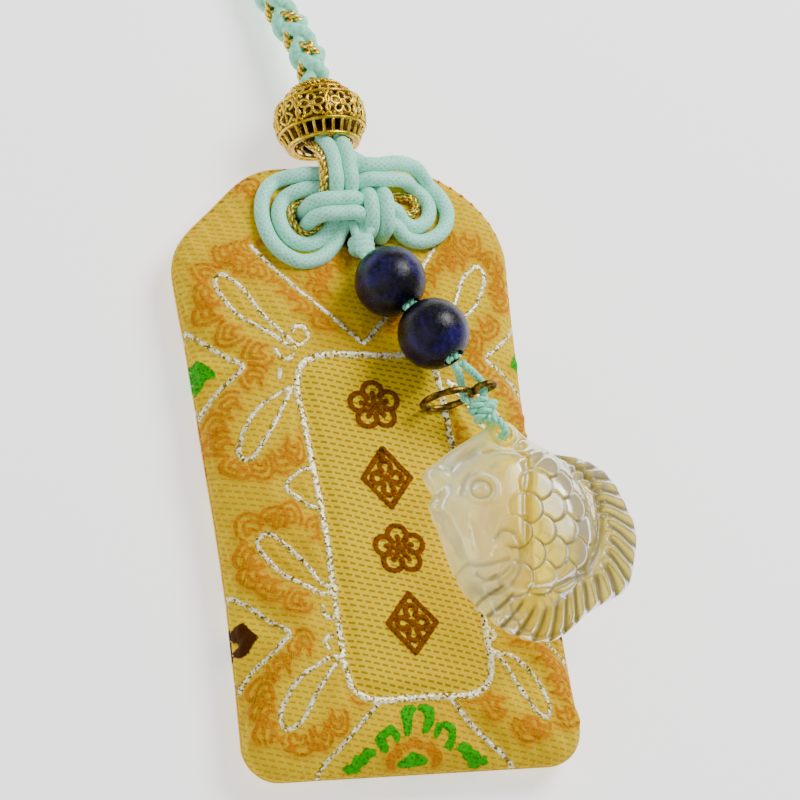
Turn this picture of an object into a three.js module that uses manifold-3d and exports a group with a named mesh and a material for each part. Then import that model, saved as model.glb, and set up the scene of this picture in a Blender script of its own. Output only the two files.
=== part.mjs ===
// A charm: a padded brocade pouch tied with an ornamental cord knot, which carries a filigree bead
// and a braided strap above, and two stone beads, a brass link and a carved crystal fish below.
// Millimetres. The pouch lies on its back: +X to its right, +Y to its strap, +Z up from what it
// rests on. The origin is the middle of the pouch's flat back.

import * as THREE from 'three';
import { mergeVertices } from 'three/addons/utils/BufferGeometryUtils.js';
import Module from 'manifold-3d';

const wasm = await Module();
wasm.setup();

// Pouch
const POUCH_LENGTH = 89.6;
const POUCH_TOP = 45.4;
const POUCH_BOTTOM_WIDTH = 48.6;
const POUCH_WAIST_WIDTH = 47.2;
const POUCH_SHOULDER_WIDTH = 49.4;
const POUCH_TOP_WIDTH = 16;
const POUCH_CORNER_RADIUS = 5;
const SHOULDER_HEIGHT = 15.2;
const SEAM_HEIGHT = 4.3;
const CROWN_HEIGHT = 4.3;
const TOP_FLATTENING = 0.5;
const FLATTENING_LENGTH = 31;
const BACK_LIFT = 2.9;
const BACK_LIFT_START = 16.5;
const BACK_LIFT_END = 11;
const PANEL_WALL = 0.8;
const SEAM_GAP = 0.3;
const FIT_GAP = 0.3;
const CARD_THICKNESS = 0.6;
const CARD_MARGIN = 3.2;
const SLIP_THICKNESS = 0.4;
const SLIP_WIDTH = 26;
const SLIP_LENGTH = 52;
const FILLING_SHORTFALL = 15.4;

// Knot
const KNOT_CENTRE = new THREE.Vector2(1.7, 39.05);
const STRAND_PITCH = 2.2;
const CROSSING_GAP_X = 2.35;
const CROSSING_GAP_Y = 2.75;
const LEVEL_RISE = 3.05;
const TIGHT_RADIUS = 0.6;
const EAR_RADIUS = 0.92;
const BORE_STRAND_RADIUS = 0.85;
const TIGHT_REACH = 5.2;
const EAR_REACH = 9.2;
const CROWN_STRETCH = 1.45;
const GOLD_RADIUS = 0.45;
const REST_LIFT = 0.15;
const BACK_RUN_LEVEL = 1.3;
const EYELET_RADIUS = 1.35;
const LEFT_EYELET_X = -5.5;
const RIGHT_EYELET_Y = 33.4;
const GOLD_EYELET_X = 0.9;
const GOLD_STOP_RADIUS = 0.85;

// Filigree bead
const BEAD_X = -1.2;
const BEAD_CLEARANCE = 2.2;
const BEAD_REST = 0.5;
const BEAD_LENGTH = 9;
const BEAD_RADIUS = 6.5;
const BEAD_RIM_RADIUS = 5.0;
const BEAD_BORE_RADIUS = 2.95;
const BEAD_WALL = 0.8;
const COLLAR_RADIUS = 3.4;
const COLLAR_LENGTH = 1.3;
const WINDOW_COUNT = 20;
const WINDOW_RADIUS = 0.5;

// Strap
const STRAP_RADIUS = 2.65;
const STRAP_INSET = 0.3;
const STRAP_SWING_GAP = 1.2;
const STRAP_REST = 3.35;
const STRAP_LEAN = 0.2;
const EYE_RADIUS = 11;
const EYE_NECK_RADIUS = 12;
const EYE_NECK_START = 3;
const EYE_BINDING_Y = 84;
const EYE_BINDING_X = -4.8;
const STRAP_LEG_GAP = 0.4;
const STRAP_TAIL = 4;
const WHIPPING_LENGTH = 5;
const WHIPPING_WALL = 0.35;

// Dangle
const TIE_X = 1.1;
const TIE_Y = 31;
const TIE_REST = 0.8;
const TIE_KNOT_RADIUS = 1.7;
const TIE_RADIUS = 0.5;
const THREAD_RADIUS = 0.45;
const THREAD_OFFSET = 0.7;
const THREAD_GAP = 0.4;
const STONE_RADIUS = 5;
const STONE_BORE_RADIUS = 1.45;
const STONE_GAP = 0.3;
const UPPER_STONE_X = 3.4;
const UPPER_STONE_Y = 24.4;
const STONE_LINE = new THREE.Vector3(0.4, -0.87, 0.27).normalize();
const LIFT_POINT_BEYOND = 0.3;
const DROP_START = 0.45;

// Brass link
const LINK_WAIST_X = 12.44;
const LINK_WAIST_Y = 7.3;
const LINK_DIRECTION = new THREE.Vector3(0.851, 0.108, 0.514).normalize();
const LINK_FACING = new THREE.Vector3(0.126, -0.991, 0);
const LINK_THICKNESS = 0.9;
const LARGE_RING_RADIUS = 4.0;
const LARGE_HOLE_RADIUS = 3.1;
const SMALL_RING_RADIUS = 1.8;
const SMALL_HOLE_RADIUS = 1.05;
const LARGE_RING_OFFSET = 3.6;
const SMALL_RING_OFFSET = 1.9;

// Overhand knot
const DROP_KNOT_DISTANCE = 4.5;
const DROP_KNOT_TURNS = 1.4;
const DROP_KNOT_PITCH = 1.45;
const DROP_KNOT_CORD = 0.5;

// Fish
const LUG_X = 15.9;
const LUG_Y = 0.6;
const LUG_HOLE_RADIUS = 1.2;
const LUG_RADIUS = 2.4;
const LUG_THICKNESS = 2.6;
const LUG_RIM_THICKNESS = 1.0;
const LUG_NECK = 4.2;
const FISH_BODY_HALF = 5.6;
const FISH_BODY_OFFSET = new THREE.Vector2(-0.6, -13.8);
const FISH_BODY_RADII = new THREE.Vector2(11.4, 13.6);
const FISH_FIN_HALF = 2.4;
const FIN_EDGE_HALF = 0.9;
const FIN_RIB_COUNT = 13;
const FIN_RIB_DEPTH = 0.45;
const LIP_RADII = [1.9, 1.7];

const materialOf = (color, roughness, metalness) =>
  new THREE.MeshStandardMaterial({ color, roughness, metalness });

const charm = new THREE.Group();

function place(name, geometry, material) {
  const mesh = new THREE.Mesh(geometry, material);
  mesh.name = name;
  charm.add(mesh);
  return mesh;
}

// Solids

function positionsOnly(geometry) {
  const copy = geometry.clone();
  for (const attribute of Object.keys(copy.attributes)) {
    if (attribute !== 'position') copy.deleteAttribute(attribute);
  }
  return mergeVertices(copy, 1e-4);
}

function solidOf(geometry) {
  const merged = positionsOnly(geometry);
  return new wasm.Manifold(new wasm.Mesh({
    numProp: 3,
    vertProperties: new Float32Array(merged.attributes.position.array),
    triVerts: new Uint32Array(merged.index.array),
  }));
}

function geometryOf(solid) {
  const mesh = solid.getMesh();
  const geometry = new THREE.BufferGeometry();
  geometry.setAttribute('position', new THREE.BufferAttribute(mesh.vertProperties, 3));
  geometry.setIndex(new THREE.BufferAttribute(mesh.triVerts, 1));
  return geometry;
}

const cut = (geometry, ...tools) =>
  geometryOf(tools.reduce((solid, tool) => solid.subtract(solidOf(tool)), solidOf(geometry)));

const join = (geometry, ...others) =>
  geometryOf(others.reduce((solid, other) => solid.add(solidOf(other)), solidOf(geometry)));

// A closed body through rings of as many points each, closed by a fan at either end.
function loft(rings, firstTip, lastTip) {
  const count = rings[0].length;
  const points = [...rings.flat(), firstTip, lastTip];
  const first = points.length - 2;
  const last = points.length - 1;
  const faces = [];
  for (let i = 0; i < count; i += 1) {
    const next = (i + 1) % count;
    faces.push(first, next, i);
    for (let r = 0; r < rings.length - 1; r += 1) {
      const a = r * count + i;
      const b = r * count + next;
      faces.push(a, b, b + count, a, b + count, a + count);
    }
    const end = (rings.length - 1) * count;
    faces.push(last, end + i, end + next);
  }
  let volume = 0;
  for (let f = 0; f < faces.length; f += 3) {
    const [a, b, c] = [points[faces[f]], points[faces[f + 1]], points[faces[f + 2]]];
    volume += a.dot(new THREE.Vector3().crossVectors(b, c));
  }
  if (volume < 0) faces.reverse();
  const geometry = new THREE.BufferGeometry().setFromPoints(points);
  geometry.setIndex(faces);
  return geometry;
}

// A round tube along a curve, whose radius may change on the way.
function tubeAlong(curve, radiusAt, steps, sides) {
  const frames = curve.computeFrenetFrames(steps, false);
  const rings = [];
  for (let i = 0; i <= steps; i += 1) {
    const centre = curve.getPointAt(i / steps);
    const radius = radiusAt(centre, i / steps);
    rings.push(Array.from({ length: sides }, (_, k) => {
      const angle = (2 * Math.PI * k) / sides;
      return centre.clone()
        .addScaledVector(frames.normals[i], radius * Math.cos(angle))
        .addScaledVector(frames.binormals[i], radius * Math.sin(angle));
    }));
  }
  return loft(rings, curve.getPointAt(0), curve.getPointAt(1));
}

const smooth = (points) => new THREE.CatmullRomCurve3(points, false, 'centripetal');

// The least clear distance of a tube from itself, between points more than a quarter turn apart.
function gapToItself(curve, radiusAt, spacing) {
  const count = Math.round(curve.getLength() / spacing);
  const spots = Array.from({ length: count + 1 }, (_, i) => curve.getPointAt(i / count));
  let least = Infinity;
  for (let i = 0; i < spots.length; i += 1) {
    for (let j = i + 1; j < spots.length; j += 1) {
      const along = (j - i) * spacing;
      const apart = spots[i].distanceTo(spots[j]);
      if (along > 2 * apart + 2) {
        least = Math.min(least, apart - radiusAt(spots[i]) - radiusAt(spots[j]));
      }
    }
  }
  return least;
}

// Pouch

const POUCH_POINTS = 56;
const smoothstep = THREE.MathUtils.smoothstep;

function pouchOutline() {
  const top = POUCH_TOP;
  const bottom = top - POUCH_LENGTH;
  const foot = POUCH_BOTTOM_WIDTH / 2;
  const shoulder = POUCH_SHOULDER_WIDTH / 2;
  const radius = POUCH_CORNER_RADIUS;
  const waist = POUCH_WAIST_WIDTH - (foot + shoulder) / 2;
  const shoulderStart = top - SHOULDER_HEIGHT;
  const corner = POUCH_TOP_WIDTH / 2;
  const path = new THREE.Path();
  path.moveTo(foot - radius, bottom);
  path.absarc(foot - radius, bottom + radius, radius, -Math.PI / 2, 0, false);
  path.quadraticCurveTo(waist, 0, shoulder, shoulderStart);
  path.bezierCurveTo(
    shoulder, shoulderStart + SHOULDER_HEIGHT / 2, 2 * corner, top, corner, top);
  path.lineTo(-corner, top);
  path.bezierCurveTo(
    -2 * corner, top, -shoulder, shoulderStart + SHOULDER_HEIGHT / 2, -shoulder, shoulderStart);
  path.quadraticCurveTo(-waist, 0, -foot, bottom + radius);
  path.absarc(-foot + radius, bottom + radius, radius, Math.PI, 1.5 * Math.PI, false);
  path.lineTo(foot - radius, bottom);
  return path.getSpacedPoints(POUCH_POINTS).slice(0, POUCH_POINTS);
}

const outline = pouchOutline();

// How far out of the middle a place is, from 0 there to 1 at the pouch's edge.
function shareOf(x, y) {
  const angle = Math.atan2(y, x);
  let best = 1;
  for (let i = 0; i < outline.length; i += 1) {
    const a = outline[i];
    const b = outline[(i + 1) % outline.length];
    const edge = b.clone().sub(a);
    const ray = new THREE.Vector2(Math.cos(angle), Math.sin(angle));
    const across = ray.x * edge.y - ray.y * edge.x;
    const along = (ray.x * a.y - ray.y * a.x) / across;
    const reach = (a.x * edge.y - a.y * edge.x) / across;
    if (-along >= 0 && -along <= 1 && reach > 0) best = Math.hypot(x, y) / reach;
  }
  return best;
}

const crownAt = (y) =>
  CROWN_HEIGHT * (1 - TOP_FLATTENING * smoothstep(y, POUCH_TOP - FLATTENING_LENGTH, POUCH_TOP));

const domeOf = (share) => Math.sqrt(Math.max(0, 1 - share ** 6));

const frontAt = (x, y) => SEAM_HEIGHT + crownAt(y) * domeOf(shareOf(x, y));

const ROUND_OF_BACK = 0.14;

function backDepth(share) {
  const inwards = Math.min(1, (1 - share) / ROUND_OF_BACK);
  return Math.sqrt(1 - (1 - inwards) ** 2);
}

const liftAt = (y) =>
  BACK_LIFT * smoothstep(y, POUCH_TOP - BACK_LIFT_START, POUCH_TOP - BACK_LIFT_END);

const backAt = (share, y) => SEAM_HEIGHT - (SEAM_HEIGHT - liftAt(y)) * backDepth(share);

const SHARES = [0.25, 0.5, 0.7, 0.82, 0.9, 0.955, 0.985, 1];

const ringAt = (share, heightOf) =>
  outline.map((p) => new THREE.Vector3(p.x * share, p.y * share, heightOf(p.y * share)));

const innerScale = 1 - PANEL_WALL / (POUCH_WAIST_WIDTH / 2);

// A bowl-shaped panel: its outer skin from the middle to the edge, and its inner skin back.
function panel(outerHeight, innerHeight, edge) {
  const outer = SHARES.map((s) => ringAt(s, (y) => outerHeight(s, y)));
  const inner = SHARES.map((s) => ringAt(s * innerScale, (y) => innerHeight(s, y))).reverse();
  outer[outer.length - 1].forEach((p) => p.setZ(edge));
  inner[0].forEach((p) => p.setZ(edge));
  return loft(
    [...outer, ...inner],
    new THREE.Vector3(0, 0, outerHeight(0, 0)),
    new THREE.Vector3(0, 0, innerHeight(0, 0)));
}

// A slot through the pouch, from one strand's place to another's.
function eyelet(from, to) {
  const line = to.clone().sub(from);
  const turn = line.angle() + Math.PI / 2;
  const shape = new THREE.Shape();
  shape.absarc(from.x, from.y, EYELET_RADIUS, turn, turn + Math.PI, false);
  shape.absarc(to.x, to.y, EYELET_RADIUS, turn + Math.PI, turn + 2 * Math.PI, false);
  const depth = 2 * (SEAM_HEIGHT + CROWN_HEIGHT);
  return new THREE.ExtrudeGeometry(shape, { depth, bevelEnabled: false, curveSegments: 6 })
    .translate(0, 0, -depth / 4);
}

const brocade = materialOf(0xe9b21c, 0.75, 0.05);
const brocadeBack = materialOf(0xe0a81a, 0.78, 0.05);
const wadding = materialOf(0xf2ede0, 0.95, 0);
const card = materialOf(0xb9a583, 0.9, 0);
const paper = materialOf(0xf6f1e4, 0.9, 0);

const innerRow = KNOT_CENTRE.y - CROSSING_GAP_Y / 2;
const outerRow = innerRow - STRAND_PITCH;
const leftEyelet = eyelet(
  new THREE.Vector2(LEFT_EYELET_X, outerRow), new THREE.Vector2(LEFT_EYELET_X, innerRow));
const outerColumn = KNOT_CENTRE.x + CROSSING_GAP_X / 2;
const innerColumn = outerColumn + STRAND_PITCH;
const rightEyelet = eyelet(
  new THREE.Vector2(GOLD_EYELET_X, RIGHT_EYELET_Y),
  new THREE.Vector2(innerColumn, RIGHT_EYELET_Y));

const frontPanel = panel(
  (s, y) => SEAM_HEIGHT + crownAt(y) * domeOf(s),
  (s, y) => SEAM_HEIGHT + (crownAt(y) - PANEL_WALL) * domeOf(s),
  SEAM_HEIGHT + SEAM_GAP / 2);
place('pouch_front', cut(frontPanel, leftEyelet, rightEyelet), brocade);

const backPanel = panel(
  (s, y) => backAt(s, y),
  (s, y) => Math.min(backAt(s, y) + PANEL_WALL, SEAM_HEIGHT - SEAM_GAP),
  SEAM_HEIGHT - SEAM_GAP / 2);
place('pouch_back', cut(backPanel, leftEyelet, rightEyelet), brocadeBack);

// The card, the slip and the padding lie between the panels, below the eyelets.
const fillingTop = POUCH_TOP - FILLING_SHORTFALL;
const fillingLimit = new THREE.BoxGeometry(2 * POUCH_SHOULDER_WIDTH, POUCH_LENGTH, 20)
  .translate(0, fillingTop + POUCH_LENGTH / 2, SEAM_HEIGHT);
const cardScale = 1 - CARD_MARGIN / (POUCH_WAIST_WIDTH / 2);
const cardTop = SEAM_HEIGHT - SEAM_GAP;

function flatSheet(scale, bottom, thickness) {
  const shape = new THREE.Shape(outline.map((p) => p.clone().multiplyScalar(scale)));
  return new THREE.ExtrudeGeometry(shape, { depth: thickness, bevelEnabled: false })
    .translate(0, 0, bottom);
}

place(
  'stiffener_card',
  cut(flatSheet(cardScale, cardTop - CARD_THICKNESS, CARD_THICKNESS), fillingLimit),
  card);

const slipTop = cardTop - CARD_THICKNESS - FIT_GAP;
place(
  'prayer_slip',
  new THREE.BoxGeometry(SLIP_WIDTH, SLIP_LENGTH, SLIP_THICKNESS)
    .translate(0, 0, slipTop - SLIP_THICKNESS / 2),
  paper);

const paddingBase = cardTop + FIT_GAP;
const paddingShares = SHARES.filter((s) => s <= cardScale / innerScale + 0.01);
const paddingTop = (s, y) =>
  SEAM_HEIGHT + (crownAt(y) - PANEL_WALL) * domeOf(s) - FIT_GAP;
const padding = loft(
  [
    ...paddingShares.map((s) => ringAt(s * innerScale, (y) => paddingTop(s, y))),
    ringAt(paddingShares[paddingShares.length - 1] * innerScale, () => paddingBase),
  ],
  new THREE.Vector3(0, 0, paddingTop(0, 0)),
  new THREE.Vector3(0, 0, paddingBase));
place('front_wadding', cut(padding, fillingLimit), wadding);

// Knot cords

const mintCord = materialOf(0x8fdcc0, 0.45, 0);
const goldCord = materialOf(0xc9a132, 0.35, 0.7);

const v = (x, y, z) => new THREE.Vector3(x, y, z);

const restingOn = (x, y, radius) => v(x, y, frontAt(x, y) + radius + FIT_GAP + REST_LIFT);

const goldLevel = restingOn(KNOT_CENTRE.x, outerRow, GOLD_RADIUS).z;
const lowLevel = goldLevel + GOLD_RADIUS + FIT_GAP + TIGHT_RADIUS;
const highLevel = lowLevel + LEVEL_RISE;
const leftColumn = KNOT_CENTRE.x - CROSSING_GAP_X / 2;
const secondColumn = leftColumn - STRAND_PITCH;
const innerTopRow = KNOT_CENTRE.y + CROSSING_GAP_Y / 2;
const outerTopRow = innerTopRow + STRAND_PITCH;

const beadCentre = v(
  BEAD_X, POUCH_TOP + BEAD_CLEARANCE + BEAD_LENGTH / 2, BEAD_REST + BEAD_RADIUS);
const beadMouth = beadCentre.y - BEAD_LENGTH / 2;
function mintRadius(spot) {
  const away = Math.hypot((spot.x - KNOT_CENTRE.x) / CROWN_STRETCH, spot.y - KNOT_CENTRE.y);
  if (spot.z < SEAM_HEIGHT + 1 && spot.y < POUCH_TOP) return TIGHT_RADIUS;
  if (spot.y > POUCH_TOP - 1 && Math.abs(spot.x - BEAD_X) < BEAD_RADIUS) {
    return TIGHT_RADIUS
      + (BORE_STRAND_RADIUS - TIGHT_RADIUS) * smoothstep(spot.y, beadMouth + 0.5, beadMouth + 2.5);
  }
  return TIGHT_RADIUS + (EAR_RADIUS - TIGHT_RADIUS) * smoothstep(away, TIGHT_REACH, EAR_REACH);
}

const boreEnd = beadCentre.y + BEAD_LENGTH / 2 - STRAP_INSET - STRAP_SWING_GAP;
const goldEnd = beadCentre.y + BEAD_LENGTH / 2 - COLLAR_LENGTH - 2;

// Down from the bead, over the top rows and under the middle rows, to the left ear.
function fromBead(column, boreX, boreZ) {
  return [
    v(boreX, boreEnd, boreZ),
    v(boreX, beadMouth + 2.6, boreZ),
    v(boreX, beadMouth + 1, boreZ + 0.4),
    v((boreX * 2 + column) / 3, beadMouth - 0.2, boreZ + 1.4),
    v((boreX + column * 2) / 3, beadMouth - 1.6, highLevel - 0.8),
    v(column, outerTopRow + 1.3, highLevel - 0.1),
    v(column, outerTopRow - 0.5, highLevel),
    v(column, innerTopRow, highLevel),
    v(column, innerRow, lowLevel),
    v(column - 0.1, innerRow - 1.5, lowLevel),
  ];
}

// Under the crown's first column and over its second, to the right ear.
const acrossTop = (row) => [
  v(-5.6, row + 0.1, lowLevel - 0.3),
  v(secondColumn - 1, row, lowLevel),
  v(leftColumn, row, lowLevel),
  v(outerColumn, row, highLevel),
  v(innerColumn, row, highLevel),
];

// Back under the second column, over the first, down through the left eyelet and behind the pouch.
const acrossMiddle = (row) => [
  v(innerColumn, row, lowLevel),
  v(outerColumn, row, lowLevel),
  v(leftColumn, row, highLevel),
  v(secondColumn, row, highLevel),
  v(LEFT_EYELET_X + 1.6, row, highLevel - 0.2),
  v(LEFT_EYELET_X + 0.3, row, highLevel - 1.5),
  v(LEFT_EYELET_X, row, lowLevel - 0.5),
  v(LEFT_EYELET_X, row, SEAM_HEIGHT),
  v(LEFT_EYELET_X + 0.2, row, BACK_RUN_LEVEL + 0.9),
  v(LEFT_EYELET_X + 1.2, row, BACK_RUN_LEVEL),
];

// Up through the right eyelet, over the middle rows, under the top rows and into the bead.
const upRight = (column, boreX, boreZ) => [
  v(column, RIGHT_EYELET_Y + 1.1, BACK_RUN_LEVEL),
  v(column, RIGHT_EYELET_Y + 0.1, BACK_RUN_LEVEL + 1),
  v(column, RIGHT_EYELET_Y, SEAM_HEIGHT),
  v(column, RIGHT_EYELET_Y, lowLevel),
  v(column, RIGHT_EYELET_Y + 0.4, highLevel - 1.1),
  v(column, outerRow, highLevel),
  v(column, innerRow, highLevel),
  v(column, innerTopRow, lowLevel),
  v(column, outerTopRow - 0.2, lowLevel),
  v((boreX + 3 * column) / 4, outerTopRow + 1.9, lowLevel - 1),
  v((boreX * 2 + column) / 3, beadMouth - 1.2, boreZ + 1.3),
  v(boreX, beadMouth + 1.2, boreZ + 0.2),
  v(boreX, beadMouth + 3, boreZ),
  v(boreX, boreEnd, boreZ),
];

const BORE_OFFSET = 1.2;
const boreLeft = BEAD_X - BORE_OFFSET;
const boreRight = BEAD_X + BORE_OFFSET;
const boreTop = beadCentre.z + BORE_OFFSET;
const boreBottom = beadCentre.z - BORE_OFFSET;

const outerRoute = smooth([
  ...fromBead(leftColumn, boreRight, boreTop),
  v(-0.9, 34.2, lowLevel - 0.5),
  restingOn(-2.3, 32.0, EAR_RADIUS),
  restingOn(-4.6, 30.1, EAR_RADIUS),
  restingOn(-7.3, 29.6, EAR_RADIUS),
  restingOn(-9.6, 30.8, EAR_RADIUS),
  restingOn(-11.1, 32.8, EAR_RADIUS),
  restingOn(-11.8, 35.3, EAR_RADIUS),
  restingOn(-11.8, 38.0, EAR_RADIUS),
  restingOn(-10.9, 40.7, EAR_RADIUS),
  restingOn(-9.0, 42.5, EAR_RADIUS),
  ...acrossTop(outerTopRow),
  v(7.2, outerTopRow + 0.4, highLevel - 0.4),
  v(9.3, outerTopRow + 0.7, lowLevel + 1.4),
  v(11.4, 43.0, lowLevel + 0.1),
  restingOn(13.6, 41.4, EAR_RADIUS),
  restingOn(15.0, 39.2, EAR_RADIUS),
  restingOn(15.5, 36.8, EAR_RADIUS),
  restingOn(14.5, 34.3, EAR_RADIUS),
  restingOn(12.4, 32.7, EAR_RADIUS),
  restingOn(10.0, 32.3, EAR_RADIUS),
  restingOn(8.3, 33.0, EAR_RADIUS + 0.3),
  v(7.1, 34.4, lowLevel),
  ...acrossMiddle(outerRow),
  v(-1.2, outerRow, BACK_RUN_LEVEL),
  v(1.4, outerRow, BACK_RUN_LEVEL),
  ...upRight(outerColumn, boreLeft, boreBottom),
]);

const innerRoute = smooth([
  ...fromBead(secondColumn, boreLeft, boreTop),
  v(-2.3, 34.8, lowLevel - 0.4),
  restingOn(-3.9, 33.1, EAR_RADIUS),
  restingOn(-6.1, 32.3, EAR_RADIUS),
  restingOn(-8.2, 33.1, EAR_RADIUS),
  restingOn(-9.3, 35.2, EAR_RADIUS),
  restingOn(-9.4, 37.6, EAR_RADIUS),
  restingOn(-8.2, 39.7, EAR_RADIUS),
  ...acrossTop(innerTopRow),
  v(7.0, innerTopRow + 0.2, highLevel - 0.6),
  v(9.0, innerTopRow + 0.5, lowLevel + 1),
  restingOn(11.0, 40.8, EAR_RADIUS + 0.3),
  restingOn(12.4, 39.4, EAR_RADIUS),
  restingOn(12.9, 37.6, EAR_RADIUS),
  restingOn(12.1, 35.6, EAR_RADIUS),
  restingOn(10.3, 34.6, EAR_RADIUS),
  restingOn(8.6, 35.2, EAR_RADIUS + 0.4),
  v(7.3, 36.8, lowLevel + 0.1),
  ...acrossMiddle(innerRow),
  v(-1.2, innerRow, BACK_RUN_LEVEL),
  v(innerColumn - 1.6, innerRow, BACK_RUN_LEVEL),
  v(innerColumn, innerRow - 1.7, BACK_RUN_LEVEL),
  ...upRight(innerColumn, boreRight, boreBottom),
]);

// The gold cord lies inside the mint strands and below them, and is stopped inside the pouch.
const goldRoute = smooth([
  v(BEAD_X - 2.6, goldEnd, beadCentre.z),
  v(BEAD_X - 2.6, beadMouth + 2.6, beadCentre.z),
  v(BEAD_X - 2.4, beadMouth + 0.6, beadCentre.z + 0.5),
  v(-3.3, beadMouth - 1.4, lowLevel + 1),
  v(-3.0, 44.6, lowLevel + 1.9),
  v(-3.0, 42.6, lowLevel + 2.1),
  v(-3.1, 40.4, lowLevel + 1.9),
  v(-3.2, 38.4, lowLevel + 0.9),
  v(-3.2, 36.8, lowLevel + 0.2),
  v(-3.7, 35.5, goldLevel + 0.6),
  restingOn(-4.7, 34.3, GOLD_RADIUS),
  restingOn(-6.1, 34.1, GOLD_RADIUS),
  restingOn(-7.3, 35.4, GOLD_RADIUS),
  restingOn(-7.6, 36.9, GOLD_RADIUS),
  restingOn(-7.1, 38.5, GOLD_RADIUS),
  restingOn(-5.6, 39.2, GOLD_RADIUS),
  v(-3.6, KNOT_CENTRE.y, goldLevel),
  v(0, KNOT_CENTRE.y, goldLevel),
  v(4, KNOT_CENTRE.y, goldLevel),
  v(7.0, 39.2, goldLevel),
  restingOn(9.0, 39.5, GOLD_RADIUS),
  restingOn(10.5, 39.1, GOLD_RADIUS),
  restingOn(10.9, 37.9, GOLD_RADIUS),
  restingOn(10.2, 36.9, GOLD_RADIUS),
  restingOn(8.9, 36.9, GOLD_RADIUS),
  restingOn(7.2, 36.4, GOLD_RADIUS),
  v(5.0, 35.4, goldLevel),
  v(GOLD_EYELET_X + 1.7, RIGHT_EYELET_Y + 1.6, goldLevel),
  v(GOLD_EYELET_X + 0.5, RIGHT_EYELET_Y + 1, goldLevel - 0.1),
  v(GOLD_EYELET_X, RIGHT_EYELET_Y, SEAM_HEIGHT + 1.9),
  v(GOLD_EYELET_X - 0.2, RIGHT_EYELET_Y - 0.3, SEAM_HEIGHT + 0.9),
  v(GOLD_EYELET_X - 1.2, RIGHT_EYELET_Y - 0.7, SEAM_HEIGHT + 0.4),
  v(GOLD_EYELET_X - 2.6, RIGHT_EYELET_Y - 1.1, SEAM_HEIGHT + 0.35),
]);

const goldRadius = (_, along = 0) => (along > 0.985 ? GOLD_STOP_RADIUS : GOLD_RADIUS);

for (const [name, route, radiusAt, material, sides] of [
  ['outer_knot_cord', outerRoute, mintRadius, mintCord, 8],
  ['inner_knot_cord', innerRoute, mintRadius, mintCord, 8],
  ['gold_cord', goldRoute, goldRadius, goldCord, 6],
]) {
  const steps = Math.round(route.getLength() / 1.7);
  place(name, tubeAlong(route, radiusAt, steps, sides), material);
  console.log(`${name}: ${route.getLength().toFixed(1)} mm long, least gap to itself`,
    `${gapToItself(route, radiusAt, 0.4).toFixed(2)} mm`);
}

// Filigree bead

const brass = materialOf(0xd9ae45, 0.3, 0.9);

function filigreeBead() {
  const half = BEAD_LENGTH / 2;
  const shoulder = half - COLLAR_LENGTH;
  const bandRadius = (BEAD_RADIUS + BEAD_RIM_RADIUS) / 2;
  const outer = [
    [-half, BEAD_RIM_RADIUS],
    [-half + 0.4, BEAD_RIM_RADIUS + 0.3],
    [-half + 0.6, bandRadius - 0.3],
    [-half + 1.9, bandRadius + 0.25],
    [-half + 2.1, BEAD_RADIUS - 0.15],
    [-half + 3.4, BEAD_RADIUS],
    [shoulder - 2.6, BEAD_RADIUS],
    [shoulder - 1.5, BEAD_RADIUS - 0.3],
    [shoulder - 1.2, bandRadius],
    [shoulder - 0.2, BEAD_RIM_RADIUS - 0.2],
    [shoulder, COLLAR_RADIUS],
    [half - 0.3, COLLAR_RADIUS],
    [half, COLLAR_RADIUS - 0.1],
  ];
  const inner = outer.map(([y, r]) => [y, Math.max(BEAD_BORE_RADIUS, r - BEAD_WALL)]).reverse();
  inner[3][0] -= BEAD_WALL;
  const profile = [...outer, ...inner, outer[0]].map(([y, r]) => new THREE.Vector2(r, y));
  const barrel = new THREE.LatheGeometry(profile, 32);
  const windows = [];
  for (let i = 0; i < WINDOW_COUNT; i += 1) {
    const angle = (2 * Math.PI * i) / WINDOW_COUNT;
    windows.push(new THREE.CylinderGeometry(WINDOW_RADIUS, WINDOW_RADIUS, 3, 6)
      .rotateZ(Math.PI / 2)
      .translate(BEAD_RADIUS - 0.5, -half + 1.3, 0)
      .rotateY(angle));
  }
  return cut(barrel, ...windows);
}

const bead = place('filigree_bead', filigreeBead(), brass);
bead.position.copy(beadCentre);

// Braided strap: out of the bead, down to the surface, and round a hanging eye whose end is bound
// beside its stem.

const strapStart = beadCentre.y + BEAD_LENGTH / 2 - STRAP_INSET;
const eyeAxis = new THREE.Vector3(-STRAP_LEAN, 1, 0).normalize();
const eyeSide = new THREE.Vector3(eyeAxis.y, -eyeAxis.x, 0);
const legOffset = STRAP_RADIUS + STRAP_LEG_GAP / 2;
const binding = v(EYE_BINDING_X, EYE_BINDING_Y, STRAP_REST);
const inEye = (along, across) =>
  binding.clone().addScaledVector(eyeAxis, along).addScaledVector(eyeSide, across);

function eyePoints() {
  const sideways = legOffset + EYE_NECK_RADIUS;
  const centre = EYE_NECK_START
    + Math.sqrt((EYE_RADIUS + EYE_NECK_RADIUS) ** 2 - sideways ** 2);
  const lean = Math.atan2(sideways, centre - EYE_NECK_START);
  const neckTurn = Math.PI / 2 - lean;
  const points = [];
  for (let i = 0; i <= 3; i += 1) {
    const turn = (neckTurn * i) / 3;
    points.push(inEye(
      EYE_NECK_START + EYE_NECK_RADIUS * Math.sin(turn),
      -sideways + EYE_NECK_RADIUS * Math.cos(turn)));
  }
  const start = Math.PI + lean;
  const sweep = 2 * Math.PI - 2 * lean;
  for (let i = 1; i < 14; i += 1) {
    const turn = start + (sweep * i) / 14;
    points.push(inEye(centre + EYE_RADIUS * Math.cos(turn), EYE_RADIUS * Math.sin(turn)));
  }
  for (let i = 3; i >= 0; i -= 1) {
    const turn = (neckTurn * i) / 3;
    points.push(inEye(
      EYE_NECK_START + EYE_NECK_RADIUS * Math.sin(turn),
      sideways - EYE_NECK_RADIUS * Math.cos(turn)));
  }
  return points;
}

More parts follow.
